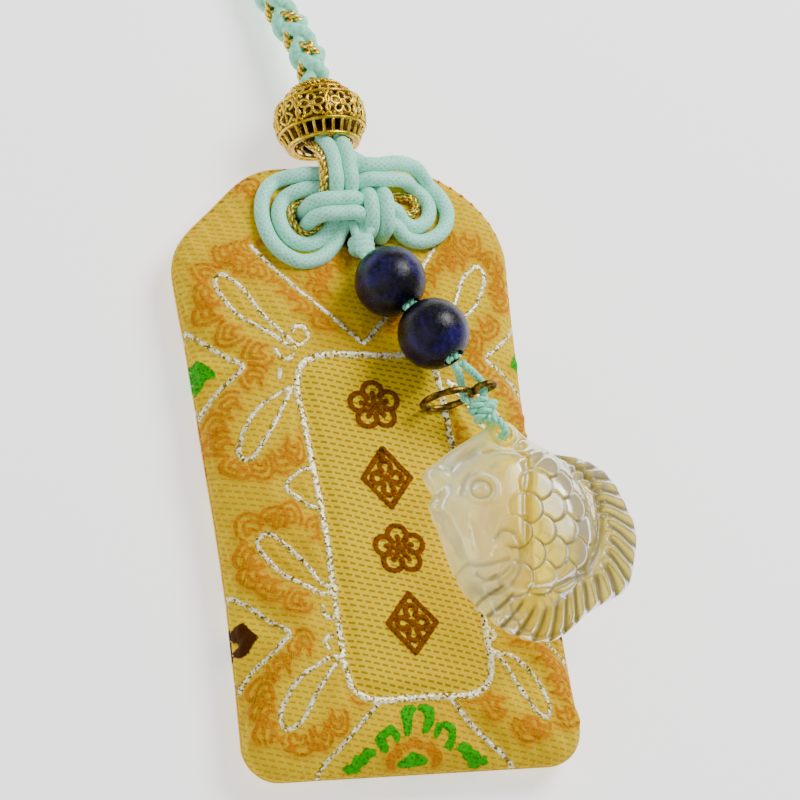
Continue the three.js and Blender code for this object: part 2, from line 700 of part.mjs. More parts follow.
const strapRoute = smooth([
  v(BEAD_X, strapStart, beadCentre.z),
  v(BEAD_X, strapStart + 2.7, beadCentre.z),
  v(BEAD_X - 0.4, strapStart + 5.8, beadCentre.z - 0.4),
  v(-2.4, 65.2, 5.9),
  v(-3.6, 69.0, 4.7),
  v(-4.9, 73.4, 3.7),
  inEye(-6, -legOffset),
  inEye(-4, -legOffset),
  inEye(0, -legOffset),
  ...eyePoints(),
  inEye(0, legOffset),
  inEye(-STRAP_TAIL, legOffset),
]);
place('braided_strap', tubeAlong(strapRoute, () => STRAP_RADIUS, 44, 12), mintCord);
console.log(`braided_strap: ${strapRoute.getLength().toFixed(1)} mm long`);

function stadium(radius, halfSpan) {
  const shape = new THREE.Shape();
  shape.absarc(halfSpan, 0, radius, -Math.PI / 2, Math.PI / 2, false);
  shape.absarc(-halfSpan, 0, radius, Math.PI / 2, 1.5 * Math.PI, false);
  return shape;
}

const bandInner = STRAP_RADIUS + FIT_GAP;
const band = stadium(bandInner + WHIPPING_WALL, legOffset);
band.holes.push(new THREE.Path(stadium(bandInner, legOffset).getPoints(8)));
const whipping = place(
  'strap_whipping',
  positionsOnly(new THREE.ExtrudeGeometry(
    band, { depth: WHIPPING_LENGTH, bevelEnabled: false, curveSegments: 8 }))
    .translate(0, 0, -WHIPPING_LENGTH / 2),
  goldCord);
whipping.position.copy(inEye(-0.5, 0));
whipping.quaternion.setFromRotationMatrix(
  new THREE.Matrix4().makeBasis(eyeSide, v(0, 0, 1), eyeSide.clone().cross(v(0, 0, 1))));

// Dangle tie: the knotted end that hangs out below the crown.

const tiePoint = restingOn(TIE_X, TIE_Y, TIE_KNOT_RADIUS + TIE_REST);
const tieRoute = smooth([
  v(TIE_X + 0.1, outerRow - TIGHT_RADIUS - FIT_GAP, lowLevel + 0.9),
  v(TIE_X + 0.1, outerRow - TIGHT_RADIUS - FIT_GAP - 0.7, lowLevel + 0.95),
  tiePoint.clone().add(v(0, TIE_KNOT_RADIUS * 0.7, 0.1)),
]);
const tieKnot = new THREE.SphereGeometry(TIE_KNOT_RADIUS, 12, 8);
tieKnot.rotateX(Math.PI / 2).translate(...tiePoint);
place('dangle_tie', join(tubeAlong(tieRoute, () => TIE_RADIUS, 6, 8), tieKnot), mintCord);

// Stone beads on a doubled thread

const lapis = materialOf(0x1d2350, 0.18, 0.05);
const stoneStep = 2 * STONE_RADIUS + STONE_GAP;
const upperStone = restingOn(UPPER_STONE_X, UPPER_STONE_Y, STONE_RADIUS);
const lowerStone = upperStone.clone().addScaledVector(STONE_LINE, stoneStep);
const threadSide = new THREE.Vector3(-STONE_LINE.y, STONE_LINE.x, 0).normalize();

function stone() {
  return cut(
    new THREE.SphereGeometry(STONE_RADIUS, 24, 16),
    new THREE.CylinderGeometry(STONE_BORE_RADIUS, STONE_BORE_RADIUS, 3 * STONE_RADIUS, 16));
}

for (const [name, centre] of [
  ['upper_lapis_bead', upperStone],
  ['lower_lapis_bead', lowerStone],
]) {
  const mesh = place(name, stone(), lapis);
  mesh.position.copy(centre);
  mesh.quaternion.setFromUnitVectors(v(0, 1, 0), STONE_LINE);
}

const stonesEnd = lowerStone.clone().addScaledVector(STONE_LINE, STONE_RADIUS);
const tieTop = tiePoint.clone().add(
  v(0.15, -0.8, 0.58).normalize().multiplyScalar(TIE_KNOT_RADIUS + THREAD_GAP + THREAD_RADIUS));

for (const [name, side] of [['bead_thread_left', -1], ['bead_thread_right', 1]]) {
  const shift = threadSide.clone().multiplyScalar(side * THREAD_OFFSET);
  const onLine = (distance) =>
    upperStone.clone().addScaledVector(STONE_LINE, distance).add(shift);
  const route = smooth([
    tieTop.clone().add(shift),
    onLine(-STONE_RADIUS - 0.1),
    onLine(-STONE_RADIUS + 0.8),
    onLine(0),
    onLine(stoneStep),
    onLine(stoneStep + STONE_RADIUS + LIFT_POINT_BEYOND - 0.2),
  ]);
  place(name, tubeAlong(route, () => THREAD_RADIUS, 20, 8), mintCord);
}

// Brass link: a flat figure 8 standing on the rim of its large ring, its waist between the two
// strands.

const frontTop = SEAM_HEIGHT + CROWN_HEIGHT;
const linkWaist = v(
  LINK_WAIST_X, LINK_WAIST_Y,
  frontTop + FIT_GAP + LARGE_RING_RADIUS + LARGE_RING_OFFSET * LINK_DIRECTION.z);
const linkUp = LINK_FACING.clone().cross(LINK_DIRECTION).normalize();
const linkNormal = LINK_DIRECTION.clone().cross(linkUp).normalize();

function disc(radius, offset, depth, segments) {
  return new THREE.CylinderGeometry(radius, radius, depth, segments)
    .rotateX(Math.PI / 2)
    .translate(offset, 0, 0);
}

function figureEight() {
  const rings = join(
    disc(LARGE_RING_RADIUS, -LARGE_RING_OFFSET, LINK_THICKNESS, 32),
    disc(SMALL_RING_RADIUS, SMALL_RING_OFFSET, LINK_THICKNESS, 20));
  return cut(
    rings,
    disc(LARGE_HOLE_RADIUS, -LARGE_RING_OFFSET, 3 * LINK_THICKNESS, 32),
    disc(SMALL_HOLE_RADIUS, SMALL_RING_OFFSET, 3 * LINK_THICKNESS, 20));
}

const link = place('brass_gourd_link', figureEight(), brass);
link.position.copy(linkWaist);
link.quaternion.setFromRotationMatrix(
  new THREE.Matrix4().makeBasis(LINK_DIRECTION, linkUp, linkNormal));

// Drop thread: one length from the lower bead through the link and the knot, down through the
// fish's lug, and back the same way.

const lugHole = v(LUG_X, LUG_Y, frontTop + FIT_GAP + FISH_BODY_HALF);
const dropStart = stonesEnd.clone()
  .addScaledVector(STONE_LINE, LIFT_POINT_BEYOND + DROP_START);
const holdLeft = LARGE_HOLE_RADIUS - LARGE_RING_OFFSET - THREAD_RADIUS - FIT_GAP;
const holdRight = SMALL_RING_OFFSET - SMALL_HOLE_RADIUS + THREAD_RADIUS + FIT_GAP;
const dropLine = lugHole.clone().sub(linkWaist).normalize();
const dropSide = v(-dropLine.y, dropLine.x, 0).normalize();
const dropUp = dropSide.clone().cross(dropLine).normalize();
const dropKnot = lugHole.clone().addScaledVector(dropLine, -DROP_KNOT_DISTANCE);
const armHeight = LUG_THICKNESS / 2 + THREAD_GAP + THREAD_RADIUS;
const rimHeight = LUG_RIM_THICKNESS / 2 + THREAD_GAP + THREAD_RADIUS;
const knotHalf = (DROP_KNOT_TURNS * DROP_KNOT_PITCH) / 2;

const atLug = (distance, height) =>
  lugHole.clone().addScaledVector(dropLine, -distance).add(v(0, 0, height));

function strandPoints(side, hold, up) {
  const beside = dropSide.clone().multiplyScalar(side * THREAD_OFFSET);
  const atKnot = (along) => dropKnot.clone().addScaledVector(dropLine, along).add(beside);
  const atLink = (along) => linkWaist.clone()
    .addScaledVector(LINK_DIRECTION, hold)
    .addScaledVector(linkNormal, along);
  const start = dropStart.clone().addScaledVector(threadSide, side * THREAD_OFFSET);
  return [
    start,
    start.clone().addScaledVector(STONE_LINE, 0.7),
    atLink(-0.9),
    atLink(0),
    atLink(0.7),
    atKnot(-knotHalf),
    atKnot(knotHalf),
    atLug(LUG_RADIUS, up * (rimHeight + 0.2)).addScaledVector(beside, 0.4),
    atLug(LUG_HOLE_RADIUS + 0.3, up * armHeight),
  ];
}

const dropRoute = smooth([
  ...strandPoints(-1, holdLeft, 1),
  lugHole.clone().add(v(0, 0, armHeight * 0.8)),
  lugHole.clone(),
  lugHole.clone().add(v(0, 0, -armHeight * 0.8)),
  ...strandPoints(1, holdRight, -1).reverse(),
]);
place('drop_thread', tubeAlong(dropRoute, () => THREAD_RADIUS, 56, 8), mintCord);
console.log('drop_thread: least gap to itself',
  `${gapToItself(dropRoute, () => THREAD_RADIUS, 0.2).toFixed(2)} mm`);

const wrapWide = THREAD_OFFSET + THREAD_RADIUS + THREAD_GAP + DROP_KNOT_CORD + 0.1;
const wrapHigh = THREAD_RADIUS + THREAD_GAP + DROP_KNOT_CORD + 0.1;
const WRAP_STEPS = 24;
const wrapRoute = smooth(Array.from({ length: WRAP_STEPS + 1 }, (_, i) => {
  const turns = (DROP_KNOT_TURNS * i) / WRAP_STEPS;
  const angle = 2 * Math.PI * turns;
  return dropKnot.clone()
    .addScaledVector(dropLine, turns * DROP_KNOT_PITCH - knotHalf)
    .addScaledVector(dropSide, wrapWide * Math.cos(angle))
    .addScaledVector(dropUp, wrapHigh * Math.sin(angle));
}));
place('overhand_knot', tubeAlong(wrapRoute, () => DROP_KNOT_CORD, WRAP_STEPS, 6), mintCord);
console.log('overhand_knot: least gap to itself',
  `${gapToItself(wrapRoute, () => DROP_KNOT_CORD, 0.2).toFixed(2)} mm`);

// Fish: its outline is given from the lug's hole, going round from the nape over the back fin,
// the tail and the belly to the mouth.

const crystal = materialOf(0xf3efe0, 0.06, 0);
const FISH_OUTLINE = [
  [-3.2, 0.6], [-1.6, 1.6], [1.6, 1.6], [3.0, -0.2], [7.7, -3.1], [9.6, -3.4], [13.4, -5.2],
  [14.9, -7.7], [16.0, -11.9], [16.3, -14.8], [14.7, -19.0], [13.5, -21.8], [10.5, -23.6],
  [7.7, -25.5], [5.4, -28.0], [1.9, -30.1], [-2.0, -29.1], [-5.3, -26.8], [-7.0, -23.8],
  [-8.3, -20.9], [-9.4, -15.8], [-10.2, -11.4], [-10.6, -7.5], [-10.2, -3.6], [-6.1, -0.9],
];
const LIP_PLACES = [[-11.4, -5.2], [-11.2, -10.4]];

const fishEdge = new THREE.CatmullRomCurve3(
  FISH_OUTLINE.map(([x, y]) => v(LUG_X + x, LUG_Y + y, 0)), true, 'centripetal')
  .getSpacedPoints(56).slice(0, 56);
const fishMiddle = v(LUG_X + FISH_BODY_OFFSET.x, LUG_Y + FISH_BODY_OFFSET.y, 0);

function fishHalfThickness(x, y, share) {
  const dx = (x - fishMiddle.x) / FISH_BODY_RADII.x;
  const dy = (y - fishMiddle.y) / FISH_BODY_RADII.y;
  const body = FISH_BODY_HALF * Math.sqrt(Math.max(0, 1 - (dx * dx + dy * dy) ** 1.4));
  const angle = Math.atan2(y - fishMiddle.y, x - fishMiddle.x);
  const onFin = smoothstep(Math.cos(angle + 0.75), -0.1, 0.25);
  const ribs = FIN_RIB_DEPTH * onFin * Math.cos(2 * FIN_RIB_COUNT * angle);
  const fin = FISH_FIN_HALF + (FIN_EDGE_HALF - FISH_FIN_HALF) * smoothstep(share, 0.75, 1);
  const solid = Math.max(body, fin + ribs * smoothstep(share, 0.6, 0.75));
  const fromLug = Math.hypot(x - LUG_X, y - LUG_Y);
  const atLug = LUG_RIM_THICKNESS / 2;
  return atLug + (solid - atLug) * smoothstep(fromLug, LUG_HOLE_RADIUS, LUG_NECK);
}

function fishBody() {
  const shares = [0.2, 0.4, 0.57, 0.7, 0.8, 0.88, 0.95, 1];
  const side = (sign) => shares.map((share) => fishEdge.map((edge) => {
    const p = fishMiddle.clone().lerp(edge, share);
    return p.setZ(lugHole.z + sign * fishHalfThickness(p.x, p.y, share));
  }));
  const middle = (sign) => fishMiddle.clone().setZ(lugHole.z + sign * FISH_BODY_HALF);
  return loft([...side(1), ...side(-1).reverse()], middle(1), middle(-1));
}

const lugProfile = [
  [0, -LUG_THICKNESS / 2],
  [LUG_HOLE_RADIUS + 0.3, -LUG_THICKNESS / 2],
  [LUG_RADIUS, -LUG_RIM_THICKNESS / 2],
  [LUG_RADIUS, LUG_RIM_THICKNESS / 2],
  [LUG_HOLE_RADIUS + 0.3, LUG_THICKNESS / 2],
  [0, LUG_THICKNESS / 2],
].map(([r, z]) => new THREE.Vector2(r, z));
const lug = new THREE.LatheGeometry(lugProfile, 24).rotateX(Math.PI / 2).translate(...lugHole);
const drill = new THREE.CylinderGeometry(LUG_HOLE_RADIUS, LUG_HOLE_RADIUS, 3 * LUG_THICKNESS, 16)
  .rotateX(Math.PI / 2).translate(...lugHole);
const lips = LIP_PLACES.map(([x, y], i) =>
  new THREE.SphereGeometry(LIP_RADII[i], 12, 8).translate(LUG_X + x, LUG_Y + y, lugHole.z));
place('crystal_fish', cut(join(fishBody(), lug, ...lips), drill), crystal);

export default charm;
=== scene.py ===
import math

import bmesh
import bpy
import numpy as np
from mathutils import Matrix, Vector


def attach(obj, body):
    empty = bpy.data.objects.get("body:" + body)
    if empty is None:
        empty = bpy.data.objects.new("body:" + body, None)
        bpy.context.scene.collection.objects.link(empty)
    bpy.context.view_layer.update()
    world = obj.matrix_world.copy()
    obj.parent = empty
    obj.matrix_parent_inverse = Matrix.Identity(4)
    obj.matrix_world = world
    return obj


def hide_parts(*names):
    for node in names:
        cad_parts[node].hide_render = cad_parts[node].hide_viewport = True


# The looks of a charm: a brocade pouch, its knot of satin cords, a filigree bead, a braided strap,
# two lapis beads, a brass link and a carved crystal fish. Lengths here are millimetres.

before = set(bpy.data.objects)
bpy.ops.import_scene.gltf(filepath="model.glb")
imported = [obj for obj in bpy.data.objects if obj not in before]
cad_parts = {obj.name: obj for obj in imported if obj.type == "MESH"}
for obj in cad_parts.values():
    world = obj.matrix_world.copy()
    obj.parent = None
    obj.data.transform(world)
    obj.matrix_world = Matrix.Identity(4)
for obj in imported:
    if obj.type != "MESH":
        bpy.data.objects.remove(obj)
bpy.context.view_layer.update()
MM = 0.001


# Camera

TARGET = np.array([-1.1, 0.0, 4.2])
TO_CAMERA = Vector((-0.30764, -0.30764, 0.90040))
IMAGE_RIGHT = Vector((0.95074, -0.13728, 0.27793))
IMAGE_UP = Vector((0.03811, 0.94155, 0.33472))
DISTANCE = 700.0

camera_data = bpy.data.cameras.new("camera")
camera_data.lens = 226.485
camera_data.sensor_width = 36.0
camera_data.shift_x = 0.04375
camera_data.shift_y = 0.0875
camera_data.clip_start = 0.05
camera_data.clip_end = 20.0
camera = bpy.data.objects.new("camera", camera_data)
bpy.context.scene.collection.objects.link(camera)
place = Vector(TARGET * MM) + TO_CAMERA * DISTANCE * MM
turn = Matrix((IMAGE_RIGHT, IMAGE_UP, TO_CAMERA)).transposed().to_4x4()
camera.matrix_world = Matrix.Translation(place) @ turn
bpy.context.scene.camera = camera


# Meshes

def new_object(name, points, quads, tris=(), uvs=(), marks=None):
    """A mesh piece from points in millimetres, with a UV pair for each face corner."""
    quads = np.array(quads, np.int64).reshape(-1, 4)
    tris = np.array(tris, np.int64).reshape(-1, 3)
    corners = np.concatenate([quads.ravel(), tris.ravel()])
    sizes = np.concatenate([np.full(len(quads), 4), np.full(len(tris), 3)])
    mesh = bpy.data.meshes.new(name)
    mesh.vertices.add(len(points))
    mesh.vertices.foreach_set("co", (np.asarray(points, float) * MM).ravel())
    mesh.loops.add(len(corners))
    mesh.loops.foreach_set("vertex_index", corners.astype(np.int32))
    mesh.polygons.add(len(sizes))
    mesh.polygons.foreach_set("loop_start", (np.cumsum(sizes) - sizes).astype(np.int32))
    if marks is not None:
        mesh.polygons.foreach_set("material_index", np.asarray(marks, np.int32))
    mesh.update(calc_edges=True)
    mesh.validate()
    mesh.polygons.foreach_set("use_smooth", [True] * len(sizes))
    layer = mesh.uv_layers.new(name="weave")
    layer.data.foreach_set("uv", np.asarray(uvs, np.float32).ravel())
    piece = bpy.data.objects.new(name, mesh)
    bpy.context.scene.collection.objects.link(piece)
    return piece


QUAD = ((0, 0), (0, 1), (1, 1), (1, 0))


class Shape:
    """Collects grids of points into one mesh."""

    def __init__(self):
        self.points, self.quads, self.tris = [], [], []
        self.quad_uvs, self.tri_uvs = [], []
        self.quad_marks, self.tri_marks = [], []
        self.count = 0

    def add(self, points):
        """Adds points and gives back the number of the first."""
        points = np.asarray(points, float).reshape(-1, 3)
        self.points.append(points)
        self.count += len(points)
        return self.count - len(points)

    def grid(self, rows, v=None, uv=None, mark=0, flip=False):
        """Closed rows of as many points each; u runs along a row and v from row to row."""
        high, wide = np.shape(rows)[:2]
        if uv is None:
            v = np.linspace(0, 1, high) if v is None else v
            uv = np.stack(np.meshgrid(np.linspace(0, 1, wide + 1), v), -1)
        first = self.add(rows)
        r, c = np.indices((high - 1, wide)).reshape(2, -1)
        quad = np.stack([first + (r + i) * wide + (c + j) % wide for i, j in QUAD], 1)
        corner_uv = np.stack([uv[r + i, c + j] for i, j in QUAD], 1)
        self.quads.append(quad[:, ::-1] if flip else quad)
        self.quad_uvs.append(corner_uv[:, ::-1] if flip else corner_uv)
        self.quad_marks.append(np.full(len(quad), mark))
        return first

    def fan(self, centre, ring, flip=False, uv=(0.0, 0.0), mark=0):
        """Closes a ring of point numbers with a fan to a centre, whose number it gives back."""
        middle = self.add(centre)
        tri = np.stack([np.full(len(ring), middle), ring, np.roll(ring, -1)], 1)
        corner_uv = np.broadcast_to(np.asarray(uv, float), (len(ring), 3, 2))
        self.tris.append(tri[:, ::-1] if flip else tri)
        self.tri_uvs.append(corner_uv[:, ::-1] if flip else corner_uv)
        self.tri_marks.append(np.full(len(ring), mark))
        return middle

    def piece(self, name):
        tris = np.concatenate(self.tris) if self.tris else ()
        uvs = np.concatenate([uv.reshape(-1, 2) for uv in self.quad_uvs + self.tri_uvs])
        marks = np.concatenate(self.quad_marks + self.tri_marks)
        return new_object(name, np.concatenate(self.points), np.concatenate(self.quads), tris, uvs, marks)

    def finish(self, name, body, slot, materials, *nodes):
        return finish_piece(self.piece(name), body, slot, materials, *nodes)


def finish_piece(piece, body, slot, materials, *nodes):
    """Gives a piece its materials, and says what it replaces and what it rides on."""
    for material in materials:
        piece.data.materials.append(material)
    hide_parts(*nodes)
    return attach(piece, body)


def unit(vector):
    vector = np.asarray(vector, float)
    return vector / np.linalg.norm(vector, axis=-1, keepdims=True)


def circle(count):
    """Angles once round, evenly."""
    return 2 * np.pi * np.arange(count) / count


def lengths_along(line):
    """How far along a line each of its points is."""
    return np.concatenate([[0], np.cumsum(np.linalg.norm(np.diff(line, axis=0), axis=1))])


def flat_spline(points, closed=False, per=16):
    return spline([(x, y, 0) for x, y in points], closed, per)[:, :2]


def spline(points, closed=False, per=16):
    """A centripetal Catmull-Rom curve through points, as three.js draws it."""
    p = np.asarray(points, float)
    if closed:
        p = np.concatenate([p[-1:], p, p[:2]])
    else:
        p = np.concatenate([[2 * p[0] - p[1]], p, [2 * p[-1] - p[-2]]])
    out = []
    s = np.linspace(0, 1, per, endpoint=False)[:, None]
    for a, b, c, d in zip(p, p[1:], p[2:], p[3:]):
        t0, t1, t2 = (max(np.linalg.norm(q - r), 1e-8) ** 0.5 for q, r in ((b, a), (c, b), (d, c)))
        m1 = ((b - a) / t0 - (c - a) / (t0 + t1) + (c - b) / t1) * t1
        m2 = ((c - b) / t1 - (d - b) / (t1 + t2) + (d - c) / t2) * t1
        out.append(b + m1 * s + (-3 * b + 3 * c - 2 * m1 - m2) * s ** 2
                   + (2 * b - 2 * c + m1 + m2) * s ** 3)
    if not closed:
        out.append(p[-2:-1])
    return np.concatenate(out)


def spaced(line, step=None, count=None, closed=False):
    """The same line through points an equal length apart."""
    line = np.asarray(line, float)
    if closed:
        line = np.concatenate([line, line[:1]])
    along = lengths_along(line)
    count = count or max(2, int(round(along[-1] / step)) + 1)
    at = np.linspace(0, along[-1], count, endpoint=not closed)
    return np.stack([np.interp(at, along, line[:, k]) for k in range(line.shape[1])], 1)


def frames_along(line):
    """Tangents and two turning-free normals at each point of a line."""
    tangent = unit(np.gradient(line, axis=0))
    start = np.cross(tangent[0], [0.0, 0.0, 1.0])
    if np.linalg.norm(start) < 0.1:
        start = np.cross(tangent[0], [1.0, 0.0, 0.0])
    normal = [unit(start)]
    for t in tangent[1:]:
        n = normal[-1] - t * np.dot(normal[-1], t)
        normal.append(unit(n))
    normal = np.array(normal)
    return tangent, normal, np.cross(tangent, normal)


def add_tube(shape, line, radius, sides=12, mark=0, caps=True):
    """A round tube along a line."""
    line = np.asarray(line, float)
    _, normal, side = frames_along(line)
    radius = np.broadcast_to(np.asarray(radius, float), len(line))
    angle = circle(sides)
    offset = (normal[:, None] * np.cos(angle)[None, :, None]
              + side[:, None] * np.sin(angle)[None, :, None]) * radius[:, None, None]
    along = lengths_along(line)
    first = shape.grid(line[:, None] + offset, v=along, mark=mark)
    if caps:
        shape.fan(line[0], first + np.arange(sides), flip=True, mark=mark)
        last = first + (len(line) - 1) * sides
        shape.fan(line[-1], last + np.arange(sides), uv=(0, along[-1]), mark=mark)


def add_plies(shape, line, plies, ply_radius, pitch, sides=8, phase=0.0, step=0.22):
    """A cord laid up from plies that twist round a line."""
    line = spaced(line, step)
    _, normal, side = frames_along(line)
    along = lengths_along(line)
    reach = ply_radius / math.sin(math.pi / plies) if plies > 2 else ply_radius
    for k in range(plies):
        angle = 2 * np.pi * (along / pitch + k / plies) + phase
        centre = line + reach * (normal * np.cos(angle)[:, None] + side * np.sin(angle)[:, None])
        add_tube(shape, centre, ply_radius, sides)


# Materials

class Value:
    """A value in a material: arithmetic on it makes math nodes."""

    def __init__(self, look, socket):
        self.look, self.socket = look, socket

    def __add__(self, other):
        return self.look.math("ADD", self, other)

    def __sub__(self, other):
        return self.look.math("SUBTRACT", self, other)

    def __rsub__(self, other):
        return self.look.math("SUBTRACT", other, self)

    def __mul__(self, other):
        return self.look.math("MULTIPLY", self, other)

    def __truediv__(self, other):
        return self.look.math("DIVIDE", self, other)


class Look:
    """A node material whose colour, roughness and bump come from patterns."""

    def __init__(self, name, **values):
        self.material = bpy.data.materials.new(name)
        self.material.use_nodes = True
        self.tree = self.material.node_tree
        self.bsdf = self.tree.nodes["Principled BSDF"]
        self.set(**values)

    def set(self, **values):
        """Sets inputs of the surface, and gives back the material."""
        for socket, value in values.items():
            self.feed(self.bsdf.inputs[socket.replace("_", " ")], value)
        return self.material

    def feed(self, socket, value):
        value = getattr(value, "socket", value)
        if isinstance(value, bpy.types.NodeSocket):
            self.tree.links.new(value, socket)
        else:
            socket.default_value = value

    def node(self, kind, inputs=(), **settings):
        node = self.tree.nodes.new("ShaderNode" + kind)
        for key, value in settings.items():
            setattr(node, key, value)
        for key, value in dict(inputs).items():
            self.feed(node.inputs[key], value)
        return node

    def value(self, kind, inputs=(), output=0, **settings):
        return Value(self, self.node(kind, inputs, **settings).outputs[output])

    def math(self, operation, *values):
        return self.value("Math", dict(enumerate(values)), operation=operation)

    def spread(self, value, low, high, to_low=0.0, to_high=1.0):
        """A smooth step from one value to another as a third goes from low to high."""
        return self.value("MapRange", {
            "Value": value, "From Min": low, "From Max": high,
            "To Min": to_low, "To Max": to_high}, interpolation_type="SMOOTHSTEP")

    def mix(self, factor, a, b):
        return self.value("Mix", {0: factor, 6: a, 7: b}, 2, data_type="RGBA")

    def attribute(self, name):
        return self.value("Attribute", (), "Fac", attribute_name=name)

    def place(self):
        """The object's own coordinates, in millimetres."""
        coordinates = self.value("TexCoord", (), "Object")
        return self.value("VectorMath", {0: coordinates, "Scale": 1 / MM}, operation="SCALE")

    def woven(self):
        separate = self.node("SeparateXYZ", {0: self.value("UVMap", uv_map="weave")})
        return [Value(self, socket) for socket in separate.outputs[:2]]

    def noise(self, vector, scale, detail=3.0, roughness=0.5, distortion=0.0):
        return self.value("TexNoise", {
            "Vector": vector, "Scale": scale, "Detail": detail, "Roughness": roughness,
            "Distortion": distortion}, "Fac")

    def cells(self, vector, scale):
        return self.value("TexVoronoi", {"Vector": vector, "Scale": scale}, "Distance")

    def flakes(self, vector, scale):
        """Cells with a random value each."""
        cells = self.value("TexVoronoi", {"Vector": vector, "Scale": scale}, "Color")
        return self.value("SeparateColor", {0: cells})

    def ramp(self, value, *stops):
        """Colours that a value runs through; a stop is its place and its picture values."""
        node = self.node("ValToRGB", {0: value})
        for _ in stops[2:]:
            node.color_ramp.elements.new(0.5)
        for element, (place, *color) in zip(node.color_ramp.elements, stops):
            element.position = place
            element.color = rgb(*color)
        return Value(self, node.outputs[0])

    def bump(self, height, distance, strength):
        return self.value("Bump", {
            "Height": height, "Strength": strength, "Distance": distance * MM})


def rgb(red, green, blue):
    """A colour from its picture values, 0 to 255."""
    return tuple(
        (c / 255 / 12.92) if c / 255 <= 0.04045 else ((c / 255 + 0.055) / 1.055) ** 2.4
        for c in (red, green, blue)) + (1.0,)


# The weave's dashes: the height of a row, a dash with its gap, and the shift from row to row.
DASH_ROW, DASH_LENGTH, DASH_SHIFT = 0.84, 1.25, 0.38


def brocade_look():
    look = Look("brocade", Specular_IOR_Level=0.2, Specular_Tint=rgb(255, 206, 40))
    u, v = look.woven()
    lean = math.radians(-15)
    across = u * math.cos(lean) + v * math.sin(lean)
    row = (v * math.cos(lean) - u * math.sin(lean)) / DASH_ROW
    shifted = across / DASH_LENGTH + look.math("FLOOR", row) * DASH_SHIFT
    in_row, in_dash = [look.math("ABSOLUTE", look.math("FRACT", x) - 0.5) for x in (row, shifted)]
    dash = look.spread(in_row, 0.24, 0.12) * look.spread(in_dash, 0.40, 0.28)
    place = look.place()
    rough = look.noise(place, 3.2, 4, 0.65)
    ragged = rough - 0.5

    tone = look.spread(look.noise(place, 0.09, 3), 0.35, 0.7)
    ground = look.mix(tone, rgb(226, 190, 2), rgb(212, 170, 0))
    ground = look.mix(look.spread(rough, 0.45, 0.75) * 0.35, ground, rgb(244, 220, 24))
    label = look.spread(look.attribute("label"), 0.15, -0.15)
    ground = look.mix(label, ground, rgb(228, 194, 4))
    color = look.mix(dash * (label * 0.3 + 0.42), ground, rgb(138, 96, 0))

    def inside(name, edge=0.09, fray=0.4):
        return look.spread(look.attribute(name) + ragged * fray, edge, -edge)

    silk = look.spread(look.cells(place, 2.1), 0.1, 0.6)
    halo = look.spread(look.attribute("orange"), 1.0, 0.1) * 0.55
    # hole: a dark brown round the slots that the cords go through; it is painted shade, standing for the
    # slots' shaded insides.
    hole = look.spread(look.attribute("hole"), 0.9, -0.5)
    orange, green, motif = inside("orange", 0.13, 0.14), inside("green"), inside("motif", 0.07)
    for share, dark, light in (
            (halo, (206, 150, 0), (206, 150, 0)), (orange, (178, 100, 0), (198, 126, 0)),
            (green, (4, 104, 8), (36, 166, 16)), (inside("maroon"), (60, 24, 6), (60, 24, 6)),
            (hole, (50, 28, 2), (50, 28, 2)), (motif, (80, 38, 4), (122, 68, 12))):
        color = look.mix(share, color, look.mix(silk, rgb(*dark), rgb(*light)))
    silver = inside("silver", 0.1, 0.95)
    # The metal threads: random flakes from dark olive to near white, partly the threads' own tone and
    # partly painted glints, with painted shade between the threads.
    foil = look.flakes(place, 2.9)
    lame_glints_and_shade = look.ramp(foil, (0.0, 92, 72, 10), (0.26, 166, 142, 52), (0.44, 236, 222, 148),
                     (0.72, 255, 252, 224))
    raised = look.math("MAXIMUM", orange, silver) + look.math("MAXIMUM", green, motif)
    relief = (1.0 - dash) * 0.5 + rough * 0.5 + raised * (foil * 0.8 + 0.6)
    return look.set(Base_Color=look.mix(silver, color, lame_glints_and_shade), Metallic=silver * 0.35,
                    Roughness=0.72 - silver * 0.36, Normal=look.bump(relief, 0.16, 0.75))


def satin_look(name, dark, light, around=9.0, along=1.15):
    """Braided satin cord: fine ribs that cross in both directions."""
    look = Look(name, Sheen_Weight=0.3, Sheen_Tint=rgb(*light), Sheen_Roughness=0.35,
                Specular_IOR_Level=0.3, Specular_Tint=rgb(*light))
    u, v = look.woven()
    angle, length = u * (2 * math.pi * around), v * (2 * math.pi * along)
    ribs = look.math("MAXIMUM", look.math("SINE", angle + length), look.math("SINE", angle - length))
    fine = look.noise(look.place(), 2.4, 4, 0.6)
    value = (ribs + 1.0) * 0.13 + fine * 0.75
    return look.set(Base_Color=look.ramp(value, (0.12, *dark), (0.75, *light)),
                    Roughness=look.spread(fine, 0.2, 0.8, 0.52, 0.34),
                    Normal=look.bump(value, 0.09, 0.55))


def gold_thread_look():
    look = Look("gold_thread", Metallic=0.85, Specular_IOR_Level=0.6)
    u, v = look.woven()
    twist = look.math("SINE", u * (2 * math.pi * 3) + v * (2 * math.pi * 1.3))
    foil = look.flakes(look.place(), 3.4)
    value = (twist + 1.0) * 0.28 + foil * 0.45
    color = look.ramp(value, (0.05, 128, 84, 8), (0.35, 206, 158, 30), (0.7, 248, 220, 90),
                      (0.95, 255, 244, 180))
    return look.set(Base_Color=color, Roughness=look.spread(foil, 0.0, 1.0, 0.5, 0.22),
                    Normal=look.bump(value, 0.12, 0.8))


def gilt_look():
    look = Look("gilt_filigree", Metallic=1.0)
    place = look.place()
    worn = look.noise(place, 0.9, 4, 0.6)
    fine = look.noise(place, 5.0, 3, 0.6)
    color = look.ramp(worn, (0.3, 166, 122, 8), (0.5, 216, 176, 34), (0.72, 248, 224, 96))
    return look.set(Base_Color=color, Roughness=look.spread(fine, 0.3, 0.7, 0.2, 0.38),
                    Normal=look.bump(fine, 0.05, 0.6))


